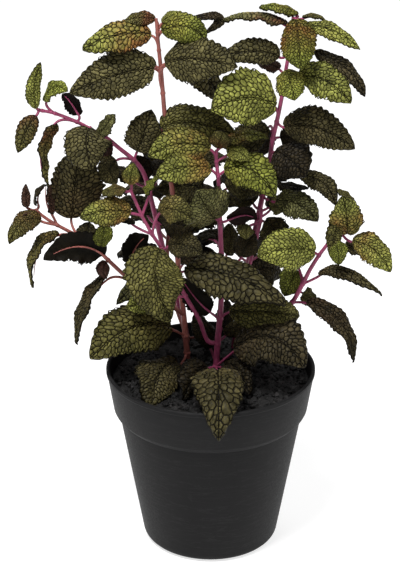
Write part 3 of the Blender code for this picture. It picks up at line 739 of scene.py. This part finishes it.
# the plant as the eye sees it: routes are (x, z, depth) in mm, and a leaf names its (route, point),
# foot, middle and tip, width, turn of its upper face, fold, look and rust
stemLeftTall = {
    "name": "stem_left_tall",
    "radius": 1.9,
    "skin": "salmon",
    "routes": [
        [(-14, 121, 22), (-15, 132, 21), (-16, 146, 21), (-19, 176, 20), (-21, 210, 19),
         (-25, 252, 18), (-27.2, 283, 17), (-28.2, 297, 16), (-29.2, 308, 15), (-30, 318, 14),
         (-30.5, 325, 14)],
        [(-16, 146, 21), (-25, 153, 14), (-36, 160, 7), (-47, 168, 1), (-60, 181, -4),
         (-67, 189, -6), (-77, 196, -6), (-89, 203, -6), (-95, 207, -6), (-101, 212, -6)],
    ],
    "leaves": [
        ((0, 0), (-19, 114, 8), (-31, 107, -18), (-34, 84, -42), 27, 0, 0, "brown", 0.1),
        ((0, 1), (-23, 138, 10), (-46, 138, -8), (-73, 117, -22), 32, 20, 0, "olive", 0.1),
        ((0, 1), (-9, 133, 28), (-1, 135, 34), (9, 132, 40), 16, 60, 0, "shadedDark", 0),
        ((0, 3), (-26, 176, 20), (-39, 170, 21), (-57, 152, 24), 15, 10, 0, "grey", 0),
        ((0, 5), (-28, 262, 14), (-10, 265.5, 13), (15, 257, 17), 23, 10, 0, "olive", 0),
        ((0, 5), (-30, 256, 24), (-38, 258, 32), (-47, 252, 38), 20, 50, 0, "dark", 0),
        ((0, 7), (-35, 300, 20), (-50, 292, 28), (-62, 284, 34), 20, 60, 0, "dark", 0),
        ((0, 7), (-18, 301, 21), (-4, 293, 27), (7, 277, 34), 17, 20, 0, "brown", 0),
        ((0, 6), (-31.5, 297.5, 12), (-53, 294, 2), (-80, 283, -4), 26, 5, 0, "khaki", 0),
        ((0, 6), (-26.5, 301, 8), (-9, 303, -1), (14, 298, -9), 25, 10, 0, "khaki", 0),
        ((0, 8), (-33, 317, 12), (-53, 316.5, 6), (-72.5, 309, 2), 19, 20, 0, "light", 0.7),
        ((0, 8), (-28, 319, 13), (-14, 321.5, 9), (-3, 314, 5), 18, 20, 0, "lime", 0.2),
        ((0, 9), (-31, 325.5, 16), (-40, 326.5, 15), (-49, 324.5, 14), 9, 35, 0, "olive", 0.6),
        ((0, 9), (-11, 326, 18), (5, 327, 17), (-5, 317, 14), 7, 60, 0, "dark", 0.2),
        ((0, 9), (-27.5, 324, 15), (-22.5, 327.5, 16), (-16.5, 329.5, 17), 6, 30, 0, "light", 0.1),
        ((1, 3), (-48, 179, 5), (-44.5, 189, 8), (-37, 198, 11), 17, 150, 0, "brown", 0),
        ((1, 3), (-61, 170, -4), (-73, 153.5, -12), (-80.5, 126, -20), 14, 60, 20, "brown", 0.2),
        ((1, 4), (-61, 180, -6), (-63, 175, -9), (-61, 169, -11), 8, 0, 0, "maroon", 0.2),
        ((1, 5), (-62, 184, -9), (-78, 190, -14), (-98, 181.5, -20), 19, 165, 0, "brown", 0.2),
        ((1, 5), (-68, 191, 0), (-71, 197, 4), (-70, 205, 9), 17, 10, 0, "brown", 0),
        ((1, 5), (-64, 190, -11), (-62.5, 197, -15), (-61.5, 205, -18), 11, 10, 0, "lime", 0),
        ((1, 6), (-80.5, 207, 1), (-78, 228, 4), (-76, 249, 7), 31, 0, 0, "brown", 0.2),
        ((1, 6), (-88, 198, -8), (-101, 187, -14), (-105.5, 163, -22), 13, 60, 20, "olive", 0.4),
        ((1, 7), (-91, 210, -6), (-94, 219, -8), (-93, 229, -10), 9, 60, 25, "rusty", 0.4),
        ((1, 7), (-98, 206, -10), (-108.5, 205, -16), (-118, 191, -22), 13, 20, 0, "olive", 0.6),
        ((1, 9), (-100.5, 215, -3), (-100, 222, -3), (-95, 228.5, -5), 7, 70, 20, "dark", 0),
        ((1, 9), (-106, 214, -8), (-106.5, 220, -9), (-106, 228.5, -9), 5.5, 10, 0, "rusty", 0.2),
        ((1, 9), (-104, 211, -7), (-108, 210.5, -10), (-113, 206, -13), 7, 60, 0, "rusty", 0.2),
    ],
}

stemCentre = {
    "name": "stem_centre",
    "radius": 2.0,
    "skin": "crimson",
    "routes": [
        [(3.4, 112, 8), (4, 127, 8), (5.3, 143, 8), (6.5, 165, 9), (6, 185, 9), (5.2, 205, 8),
         (4.7, 222, 7), (4, 233, 6), (3, 242, 6), (3, 248, 6)],
        [(4, 127, 8), (-2, 129, 6), (-7, 143, 3), (-15, 158, -1), (-22, 173, -4), (-28, 187, -7),
         (-34, 197, -9), (-37, 203, -10), (-40, 209, -11), (-46, 224, -12)],
    ],
    "leaves": [
        ((0, 0), (4, 105, -14), (4.6, 103, -46), (5, 61, -77), 30, 0, 0, "brown", 0.1),
        ((0, 0), (-2, 111, 0), (-10, 106, -18), (-15, 90, -36), 18, -10, 0, "shadedDark", 0),
        ((0, 0), (8, 112, 2), (16, 110, -16), (23, 93, -34), 17, 0, 0, "shadedDark", 0),
        ((0, 0), (13, 123, -6), (36, 131, -26), (57, 110, -38), 33, 15, 0, "dark", 0.1),
        ((0, 1), (8, 133, 14), (20, 140, 18), (33, 140, 22), 18, 50, 0, "brown", 0),
        ((0, 2), (0, 147.5, 5), (-9, 157, 5), (-17, 170, 9), 15, 170, 0, "brown", 0.2),
        ((0, 2), (10.5, 148, 3), (33, 147.5, -12), (52, 145, -20), 23, 5, 0, "olive", 0),
        ((0, 4), (2, 195, 14), (-7, 196, 20), (-18, 192, 26), 13, 80, 0, "dark", 0),
        ((0, 5), (3, 206, 2), (-2, 213, -8), (-7, 223, -14), 31, 0, 0, "grey", 0.1),
        ((0, 5), (9, 207, 5), (18, 210, 8), (26, 209, 11), 15, 130, 0, "rusty", 0.1),
        ((0, 6), (9, 226, 10), (18, 228, 14), (30, 223, 16), 18, 30, 0, "khaki", 0),
        ((0, 6), (-5, 226, 15), (-18, 228, 30), (-32, 225, 34), 20, 15, 0, "khaki", 0),
        ((0, 7), (0, 238, 1), (-15, 239, -8), (-31, 233, -16), 20, 10, 0, "light", 0.4),
        ((0, 7), (7, 237, 3), (23, 237, -4), (38, 220, -10), 23, 20, 0, "lime", 0.1),
        ((0, 8), (0, 250, 3), (-18, 253, -2), (-36, 245, -8), 20, 10, 0, "light", 0.5),
        ((0, 8), (9, 247, 5), (15, 248, 1), (22, 243, -3), 12, 30, 0, "light", 0.1),
        ((0, 9), (6, 253, 7), (18, 258, 8), (33, 257, 10), 12, 65, 0, "light", 0.5),
        ((0, 9), (4, 250, 4), (5, 255, 1), (7, 260, -1), 12, 0, 0, "olive", 0.7),
        ((1, 3), (-22, 157, -3), (-37, 155, -8), (-50, 150, -12), 16, 10, 0, "light", 0),
        ((1, 3), (-16, 175, -8), (12, 171, -18), (45, 153, -29), 27, 35, 0, "brown", 0),
        ((1, 5), (-29, 189, -13), (-32, 166, -27), (-21, 140, -26), 33, 0, 0, "olive", 0),
        ((1, 5), (-25, 190, -11), (-15, 190.5, -16), (-5, 185, -20), 15, 10, 0, "brown", 0.1),
        ((1, 6), (-44, 204, -5), (-54, 208, 0), (-65, 206, 4), 12, 80, 0, "shadedDark", 0),
        ((1, 6), (-30, 206, -4), (-21, 203.5, 3), (-8, 204, 10), 15, 30, 0, "dark", 0),
        ((1, 6), (-30, 211, -14), (-22, 213, -19), (-11, 207, -22), 17, 0, 0, "olive", 0.2),
        ((1, 8), (-46, 211, -15), (-60, 212, -21), (-75.5, 208, -27), 17, 10, 0, "light", 0.5),
        ((1, 8), (-37, 221, -8), (-34.5, 226, -8), (-30, 233, -8), 11, 60, 25, "lime", 0.1),
        ((1, 9), (-46, 228, -14), (-46, 234, -17), (-44, 241, -19), 10, 0, 0, "light", 0.4),
        ((1, 9), (-49, 225, -13), (-56, 225, -15), (-63, 221.5, -17), 10, 60, 0, "olive", 0.4),
        ((0, 0), (0, 124, 14), (-5, 136, 22), (-9, 149, 32), 12, 10, 0, "shadedDark", 0),
        ((0, 1), (7, 138, 18), (9, 146, 25), (10, 156, 31), 11, 10, 0, "shadedDark", 0),
    ],
}

stemUpperLeft = {
    "name": "stem_upper_left",
    "radius": 1.7,
    "skin": "crimson",
    "routes": [
        [(-14.5, 125, 38), (-15.5, 140, 36), (-24, 172, 30), (-31, 203, 24), (-36, 226, 17),
         (-39, 236, 13), (-44, 243, 10), (-52, 250, 8), (-60, 257, 6), (-68, 261.5, 4), (-76, 266, 2),
         (-88, 271, 0), (-97, 273, -2)],
    ],
    "leaves": [
        ((0, 6), (-54, 243, 7), (-58, 237, 5), (-54, 229.5, 1), 15, 10, 0, "brown", 0),
        ((0, 6), (-42, 248, 9), (-38.5, 258, 11), (-34, 273, 14), 21, 0, 0, "brown", 0),
        ((0, 9), (-64, 258, 2), (-59, 264, 0), (-55, 270.5, -2), 11, 40, 20, "grey", 0),
        ((0, 9), (-69, 263, -2), (-71, 252, -9), (-68, 237, -15), 27, 0, 0, "khaki", 0),
        ((0, 9), (-64, 256, 8), (-61, 249, 9), (-60, 240, 10), 11, 10, 0, "maroon", 0.2),
        ((0, 10), (-74, 270, 4), (-78.5, 277.5, 5), (-83, 283, 7), 10, 150, 0, "maroon", 0.3),
        ((0, 10), (-87, 265, -2), (-96, 249, -8), (-93, 227, -14), 11, 60, 20, "olive", 0.5),
        ((0, 11), (-94, 278, -1), (-88, 286.5, -3), (-80.5, 284, -5), 11, 45, 0, "lime", 0),
        ((0, 12), (-98.5, 274, -4), (-99.5, 287, -6), (-95, 300.5, -8), 9, 10, 0, "light", 0),
        ((0, 12), (-99, 270, -6), (-105, 260, -12), (-110, 247.5, -18), 11, 10, 0, "olive", 0.5),
        ((0, 4), (-38, 230, 17), (-40, 238, 17), (-43, 246, 18), 14, 10, 0, "shadedDark", 0),
    ],
    "back": [(0, 2, 4)],
}

stemRightTall = {
    "name": "stem_right_tall",
    "radius": 1.9,
    "skin": "crimson",
    "routes": [
        [(14, 125, 36), (17, 150, 34), (22, 180, 31), (27, 207, 27), (29.5, 221, 22), (32, 235, 17),
         (33.5, 244, 15), (35, 256, 13), (37, 266, 11), (39.5, 280, 10), (41, 292, 9), (43, 306, 8),
         (44.5, 318, 7), (45, 326, 7)],
        [(17, 150, 34), (20, 163, 28), (23, 180, 22), (26, 193, 18), (28.5, 205, 15), (29, 212, 14)],
        [(20, 163, 28), (16.5, 171, 22), (13.3, 178, 17)],
    ],
    "leaves": [
        ((0, 3), (31, 206, 20), (37, 199, 12), (38, 186, 6), 18, 5, 0, "brown", 0),
        ((0, 4), (37, 218, 14), (50, 216, 6), (62, 205, 0), 17, 10, 0, "grey", 0),
        ((0, 6), (36, 249, 9), (45.5, 243, 1), (54, 233, -5), 25, 15, 0, "shadedDark", 0),
        ((0, 6), (50, 234, 12), (64.5, 228.5, 6), (72, 215, 2), 12, 30, 0, "brown", 0),
        ((0, 8), (33, 261, 18), (19, 256.5, 24), (2, 254, 29), 18, 20, 0, "khaki", 0),
        ((0, 8), (37, 275, 6), (19.5, 280.5, -3), (0.5, 272, -11), 32, 5, 0, "light", 0),
        ((0, 8), (41, 263, 6), (60, 262.5, -1), (82, 249.5, -8), 22, 5, 0, "brown", 0.1),
        ((0, 10), (42, 297, 3), (44.5, 288.5, -6), (47, 279, -12), 17, 0, 0, "lime", 0.2),
        ((0, 11), (57, 307, 6), (75.5, 296.5, 1), (87, 281, -4), 11, 30, 0, "dark", 0),
        ((0, 10), (49.5, 293, 2), (64.5, 290, -9), (79, 277, -16), 20, 10, 0, "light", 0),
        ((0, 10), (38, 297, 13), (33, 299.5, 17), (26, 300, 22), 8, 30, 0, "rusty", 0),
        ((0, 11), (38, 304, 11), (24, 307.5, 10), (3, 304, 10), 15, 15, 0, "khaki", 0),
        ((0, 12), (46.5, 326, 1), (48.5, 311, -8), (49.5, 297, -14), 20, 0, 0, "lime", 0.6),
        ((0, 12), (52, 322, 4), (67, 319, 0), (83, 308.5, -4), 10, 35, 0, "light", 0.1),
        ((0, 12), (42, 323, 9), (25, 328.5, 9), (6, 325.5, 9), 13, 60, 0, "grey", 0.8),
        ((0, 13), (48, 328.5, 8), (37, 332.5, 8), (26, 333, 8), 8, 55, 0, "lime", 0.4),
        ((0, 13), (50, 327, 7), (58, 327.8, 8), (64, 324, 8), 5, 75, 0, "olive", 0.1),
        ((1, 1), (24, 171, 26), (33, 176, 32), (43, 171, 38), 22, 30, 0, "dark", 0),
        ((1, 4), (22, 203, 12), (20.5, 200, 9), (21, 194, 6), 11, 0, 0, "olive", 0),
        ((1, 5), (24, 216, 20), (19, 220, 24), (11, 218, 28), 14, 20, 0, "khaki", 0),
        ((1, 5), (34, 214, 15), (38, 215, 19), (43, 213, 24), 10, 20, 0, "olive", 0),
        ((2, 2), (9.5, 184, 19), (11, 194, 25), (11, 204, 29), 13, 20, 0, "brown", 0),
        ((2, 2), (18, 183, 15), (20.5, 190, 14), (25, 198, 15), 15, 10, 0, "dark", 0),
        ((0, 7), (39, 257, 16), (47, 255.5, 18), (57, 249, 20), 15, 20, 0, "shadedDark", 0),
        ((0, 5), (37, 229, 20), (45, 227, 20), (56, 227, 20), 8, 60, 0, "shadedDark", 0),
        ((0, 7), (32, 262, 24), (28, 254, 30), (27, 243, 35), 15, 10, 0, "shadedDark", 0.1),
    ],
    "back": [(0, 2, 4)],
}

stemRightLow = {
    "name": "stem_right_low",
    "radius": 1.7,
    "skin": "crimson",
    "routes": [
        [(21, 112, 4), (30, 130, 0), (40, 145, -3), (48, 154, -6), (54, 166, -8), (58, 175, -9),
         (63, 184, -10), (67, 190, -11), (71, 197, -12), (74, 202, -12)],
    ],
    "leaves": [
        ((0, 3), (56, 154, -9), (76, 141, -15), (86, 114, -21), 13, 40, 15, "dark", 0.2),
        ((0, 3), (54, 160, -3), (58, 157, -1), (63, 152, 1), 10, 15, 0, "olive", 0),
        ((0, 4), (50, 175, -2), (47, 167, -4), (43.5, 157, -6), 15, 0, 0, "lime", 0),
        ((0, 4), (63, 172, -10), (79, 173, -16), (101, 158, -22), 10, 50, 0, "brown", 0.2),
        ((0, 6), (61, 186, -14), (45.5, 188.5, -20), (27, 183, -24), 25, 5, 0, "light", 0),
        ((0, 8), (72, 193, -18), (74, 186, -23), (74.5, 177.5, -25), 11, 0, 0, "lime", 0),
        ((0, 9), (79, 197, -15), (78.5, 208, -19), (76, 220.5, -19), 19, 0, 0, "light", 0.6),
        ((0, 9), (74, 204, -15), (71.5, 196, -19), (71, 181, -21), 10, 25, 0, "olive", 0),
        ((0, 9), (82, 193, -15), (95, 187.5, -19), (105.5, 173, -24), 17, 10, 0, "light", 0.4),
        ((0, 9), (78, 191, -9), (83.5, 188.5, -8), (90, 185, -7), 9, 45, 0, "brown", 0),
        ((0, 9), (81, 213, -9), (78.5, 221, -6), (72, 224.5, -4), 8, 50, 0, "olive", 0),
    ],
}

stemBackLeft = {
    "name": "stem_back_left",
    "radius": 1.6,
    "skin": "salmon",
    "routes": [
        [(-14, 132, 48), (-20, 150, 52), (-25, 172, 55), (-25, 194, 58), (-22, 214, 60),
         (-19, 232, 61), (-18, 246, 61)],
    ],
    "leaves": [],
    "back": [(0, 3, 6)],
}

stems = (stemLeftTall, stemCentre, stemUpperLeft, stemRightTall, stemRightLow, stemBackLeft)
rootDepth = 0.080
backLeaf = {"length": 0.036, "width": 0.024}
eye = Vector(shot["eye"])


def seen(x, z, depth):
    # a point that the eye sees at (x, z) on the pot's mid plane, moved back by depth, in mm
    onPlane = Vector((x, 0.0, z)) * 0.001
    return eye + (onPlane - eye) * (1.0 + depth * 0.001 / -eye.y)


def bladeNormal(middle, heading, turn):
    # turn 0 faces the eye and 90 faces the sky
    toEye = (eye - middle).normalized()
    facing = (toEye - heading * toEye.dot(heading)).normalized()
    across = heading.cross(facing)
    if across.dot(Vector((0.25, 0.0, 1.0))) < 0.0:
        across = -across
    angle = math.radians(turn)
    return (facing * math.cos(angle) + across * math.sin(angle)).normalized()


def leafList(stem):
    leaves = []
    for number, row in enumerate(stem["leaves"]):
        (route, point), base, middle, tip, width, turn, fold, look, rust = row
        leaves.append({
            "joint": seen(*stem["routes"][route][point]), "base": seen(*base), "middle": seen(*middle),
            "tip": seen(*tip), "width": width * 0.001, "turn": turn, "fold": fold,
            "look": look, "rust": rust, "onBranch": route > 0, "seed": f"{stem['name']} {number}",
        })
    for route, first, last in stem.get("back", ()):
        leaves += backLeaves(stem, route, first, last)
    return leaves


def backLeaves(stem, route, first, last):
    # crossed pairs on the side that the eye doesn't see, smaller towards the top
    draw = random.Random(f"{stem['name']} back {route}")
    leaves = []
    for point in range(first, last + 1):
        joint = seen(*stem["routes"][route][point])
        size = 1.0 - 0.35 * (point - first) / (last - first + 1)
        firstHeading = 55.0 + 70.0 * (point % 2) + draw.uniform(-12.0, 12.0)
        for heading in (firstHeading, firstHeading + 90.0 * (1 - 2 * (point % 2))):
            angle = math.radians(heading)
            out = Vector((math.cos(angle), math.sin(angle), 0.0))
            rise = draw.uniform(0.10, 0.22)
            length = backLeaf["length"] * size * draw.uniform(0.9, 1.1)
            base = joint + out * 0.009 + Vector((0.0, 0.0, 0.004))
            leaves.append({
                "joint": joint, "base": base,
                "middle": base + out * (length * 0.5) + Vector((0.0, 0.0, length * rise)),
                "tip": base + out * (length * 0.96) - Vector((0.0, 0.0, length * 0.12)),
                "width": backLeaf["width"] * size, "turn": 66.0, "fold": 0.0,
                "look": "brown" if point % 2 else "dark", "rust": 0.1, "onBranch": False,
                "seed": f"{stem['name']} {route} {point} {heading:.0f}",
            })
    return leaves


def unit(rows):
    return rows / np.linalg.norm(rows, axis=1)[:, None]


def leafSurface(leaf):
    # the blade's points from how far along, how far across and how far above it they are
    base, middle, tip = leaf["base"], leaf["middle"], leaf["tip"]
    control = middle * 2.0 - (base + tip) * 0.5
    midNormal = np.array(bladeNormal(middle, (tip - base).normalized(), leaf["turn"]))
    base, control, tip = np.array(base), np.array(control), np.array(tip)
    fold = math.radians(leaf["fold"])
    half = leaf["width"] * 0.5
    wave = random.Random(leaf["seed"]).uniform(0.0, 6.28)
    draw = random.Random(leaf["seed"] + " way")
    twist = math.radians(draw.uniform(-16.0, 16.0))
    droop = draw.uniform(0.16, 0.34)
    ripple = draw.uniform(0.08, 0.15)
    curl = draw.uniform(0.1, 0.45) * leaf["width"]
    ripples = draw.uniform(14.0, 20.0)

    def surface(t, across, above):
        column = t[:, None]
        onRib = base * (1 - column) ** 2 + control * (2 * column * (1 - column)) + tip * column ** 2
        heading = unit((control - base) * (1 - column) + (tip - control) * column)
        normal = unit(midNormal - heading * (heading @ midNormal)[:, None])
        side = np.cross(heading, normal)
        turned = (twist * np.sin(2.6 * t - 1.3 + 0.5 * wave))[:, None]
        side, normal = side * np.cos(turned) + normal * np.sin(turned), normal * np.cos(turned) - side * np.sin(turned)
        widths = np.array([max(halfWidth(share), 0.05) for share in t])
        s = np.clip(across / widths, -1.085, 1.085)
        reach = half * np.abs(across)
        rise = reach * math.sin(fold) - droop * reach * np.abs(s) - 0.09 * half * np.exp(-(across / 0.16) ** 2)
        rise += leafForm["edgeWave"] * half * np.sin(9.0 * t + wave + np.where(s > 0.0, 2.0, 0.0)) * s * s
        rise += ripple * half * np.sin(ripples * t + 2.3 * wave + np.where(s > 0.0, 1.4, 0.0)) * s * s * np.abs(s)
        rise -= curl * np.clip(t - 0.55, 0.0, 1.0) ** 2 * 2.0
        reach = reach * (1.0 + 0.07 * np.sin(7.0 * t + 1.7 * wave + np.where(s > 0.0, 2.6, 0.0)) * np.abs(s))
        spread = np.sign(across) * reach * math.cos(fold)
        return onRib + side * spread[:, None] + normal * (rise + above)[:, None], normal, side

    return surface


def makeLeaf(leaf):
    # one copy of the nearest blank, bent to this leaf's own rib
    length = (leaf["middle"] - leaf["base"]).length + (leaf["tip"] - leaf["middle"]).length
    blank = blankFor(length, leaf["width"] * 0.5)
    thing = bpy.data.objects.new("leaf", blank["object"].data.copy())
    bpy.context.scene.collection.objects.link(thing)
    places, under, relief = blank["places"], blank["under"], blank["relief"]
    t = places[:, 1]
    across = places[:, 0] * blank["aspect"]
    above = (places[:, 2] + 0.01 * under) * length + leafForm["halfThickness"] * (1.0 - 2.0 * under)
    points, _, _ = leafSurface(leaf)(t, across, above)
    mesh = thing.data
    mesh.vertices.foreach_set("co", points.astype(np.float32).ravel())
    raised, groove, back = leafLooks[leaf["look"]]
    count = len(places)
    draw = random.Random(leaf["seed"] + " tone")
    lift = draw.uniform(0.88, 1.14)
    # painted highlight and shade: each raised cell made randomly lighter or darker, standing in for glints and shaded
    # flanks on the pillows
    paintedGlint = np.array([draw.uniform(0.35, 1.65) if high > 0.5 else 0.7 for high in relief])
    for name, tone, shade in (("raisedToneAndPaintedGlint", raised, paintedGlint), ("grooveTone", groove, 1.0), ("backTone", back, 1.0)):
        colours = np.outer(np.ones(count) * shade * lift, [*tone, 1.0])
        colours[:, 3] = 1.0
        fillAttribute(mesh, name, "FLOAT_COLOR", colours)
    fillAttribute(mesh, "relief", "FLOAT", relief)
    nearBase = np.clip((0.75 - t) / 0.6, 0.0, 1.0)
    fillAttribute(mesh, "rust", "FLOAT", leaf["rust"] * np.clip(1.5 * nearBase + 0.5 * np.abs(across) ** 3, 0.0, 1.5))
    mesh.materials.clear()
    mesh.materials.append(leafFace)
    mesh.materials.append(leafBack)
    mesh.update()
    return thing


# stems, stalks and ribs
stemForm = {"endRadius": 0.0009, "branchRadius": 0.0014, "step": 6, "node": 1.28, "nodeLength": 0.0016}


def smoothRoute(route, hasRoot):
    knots = [seen(*point) for point in route]
    line = []
    for number in range(len(knots) - 1):
        here, there = knots[number], knots[number + 1]
        before = knots[number - 1] if number else here * 2.0 - there
        beyond = knots[number + 2] if number + 2 < len(knots) else there * 2.0 - here
        leave, arrive = (there - before) / 6.0, (beyond - here) / 6.0
        line += interpolate_bezier(here, here + leave, there - arrive, there, stemForm["step"])[:-1]
    line.append(knots[-1] + (knots[-1] - knots[-2]).normalized() * 0.0012)
    if hasRoot:
        line.insert(0, Vector((knots[0].x, knots[0].y, rootDepth)))
    return line


def addTube(curve, line, radii, onBranch=False):
    spline = curve.splines.new("POLY")
    spline.material_index = 1 if onBranch else 0
    spline.points.add(len(line) - 1)
    for point, place, radius in zip(spline.points, line, radii):
        point.co = (*place, 1.0)
        point.radius = radius * 1000.0


def addStalk(curve, leaf):
    # from the stem's node to the blade's foot, then on under the blade as its rib
    surface = leafSurface(leaf)
    share = np.linspace(0.0, 0.86, 10)
    below = -leafForm["halfThickness"] - leafForm["stalk"] * (0.7 - 0.55 * share)
    rib, normals, sides = surface(share, np.zeros(10), below)
    foot = Vector(rib[0])
    heading = Vector(np.cross(normals[0], sides[0]))
    draw = random.Random(leaf["seed"] + " joint")
    aside = Vector([draw.uniform(-0.2, 0.2) * 0.001 for _ in range(3)])
    start = leaf["joint"] + aside
    bend = foot - heading * (0.4 * (foot - start).length)
    line = []
    for step in range(7):
        t = step / 7.0
        line.append(start * (1 - t) ** 2 + bend * (2 * t * (1 - t)) + foot * t ** 2)
    thick = leafForm["stalk"]
    radii = [thick * (1.2 if step == 0 else 1.0) for step in range(7)]
    line += [Vector(point) for point in rib]
    radii += [thick * (0.85 - 0.68 * at) for at in share]
    addTube(curve, line, radii, leaf["onBranch"])


def makeStem(stem):
    leaves = leafList(stem)
    selectNothing()
    bpy.ops.curve.primitive_bezier_curve_add()
    shoot = bpy.context.object
    curve = shoot.data
    curve.splines.clear()
    curve.dimensions = "3D"
    curve.bevel_depth = 0.001
    curve.bevel_resolution = 3
    curve.use_fill_caps = True
    for number, route in enumerate(stem["routes"]):
        line = smoothRoute(route, number == 0)
        thick = stem["radius"] * 0.001 if number == 0 else stemForm["branchRadius"]
        last = len(line) - 1
        addTube(curve, line, [thick + (stemForm["endRadius"] - thick) * at / last for at in range(last + 1)],
                number > 0)
        # a swollen node where leaves join
        joints = {row[0][1] for row in stem["leaves"] if row[0][0] == number}
        for joint in sorted(joints):
            at = min(joint * stemForm["step"] - joint, last - 1) + (1 if number == 0 else 0)
            at = min(max(at, 1), last - 1)
            along = (line[at + 1] - line[at - 1]).normalized() * stemForm["nodeLength"]
            radius = (thick + (stemForm["endRadius"] - thick) * at / last)
            middle = line[at]
            addTube(curve, [middle - along, middle - along * 0.5, middle, middle + along * 0.5, middle + along],
                    [radius * 0.9, radius * 1.12, radius * stemForm["node"], radius * 1.12, radius * 0.9],
                    number > 0)
    for leaf in leaves:
        addStalk(curve, leaf)
    selectOnly(shoot)
    bpy.ops.object.convert(target="MESH")
    shoot = bpy.context.object
    shoot.data.materials.clear()
    shoot.data.materials.append(stemSkins[stem["skin"]])
    shoot.data.materials.append(stemSkins["crimson"])
    shoot.data.shade_smooth()
    whole = joinAll([shoot] + [makeLeaf(leaf) for leaf in leaves])
    standFor(whole, stem["name"])
    whole.data.calc_loop_triangles()
    report(f"{stem['name']}: {len(leaves)} leaves, {len(whole.data.loop_triangles)} triangles")
    return whole


for stem in stems:
    makeStem(stem)

for blank in blanks.values():
    bpy.data.objects.remove(blank["object"])


# floor
selectNothing()
bpy.ops.mesh.primitive_plane_add(size=30.0, location=(0.0, 0.0, -0.0002))
floor = bpy.context.object
floor.name = "floor"
paleFloor = bpy.data.materials.new("paleFloor")
paleFloor.use_nodes = True
paleFloor.node_tree.nodes["Principled BSDF"].inputs["Base Color"].default_value = shot["floorColour"]
paleFloor.node_tree.nodes["Principled BSDF"].inputs["Roughness"].default_value = 0.9
paleFloor.node_tree.nodes["Principled BSDF"].inputs["Emission Color"].default_value = (1.0, 1.0, 1.0, 1.0)
paleFloor.node_tree.nodes["Principled BSDF"].inputs["Emission Strength"].default_value = shot["floorGlow"]
floor.data.materials.append(paleFloor)
floor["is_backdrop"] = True

sizes = {"cad": [list(corner) for corner in cadBox], "visual": [list(corner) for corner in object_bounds()]}
report(f"sizes {sizes}")
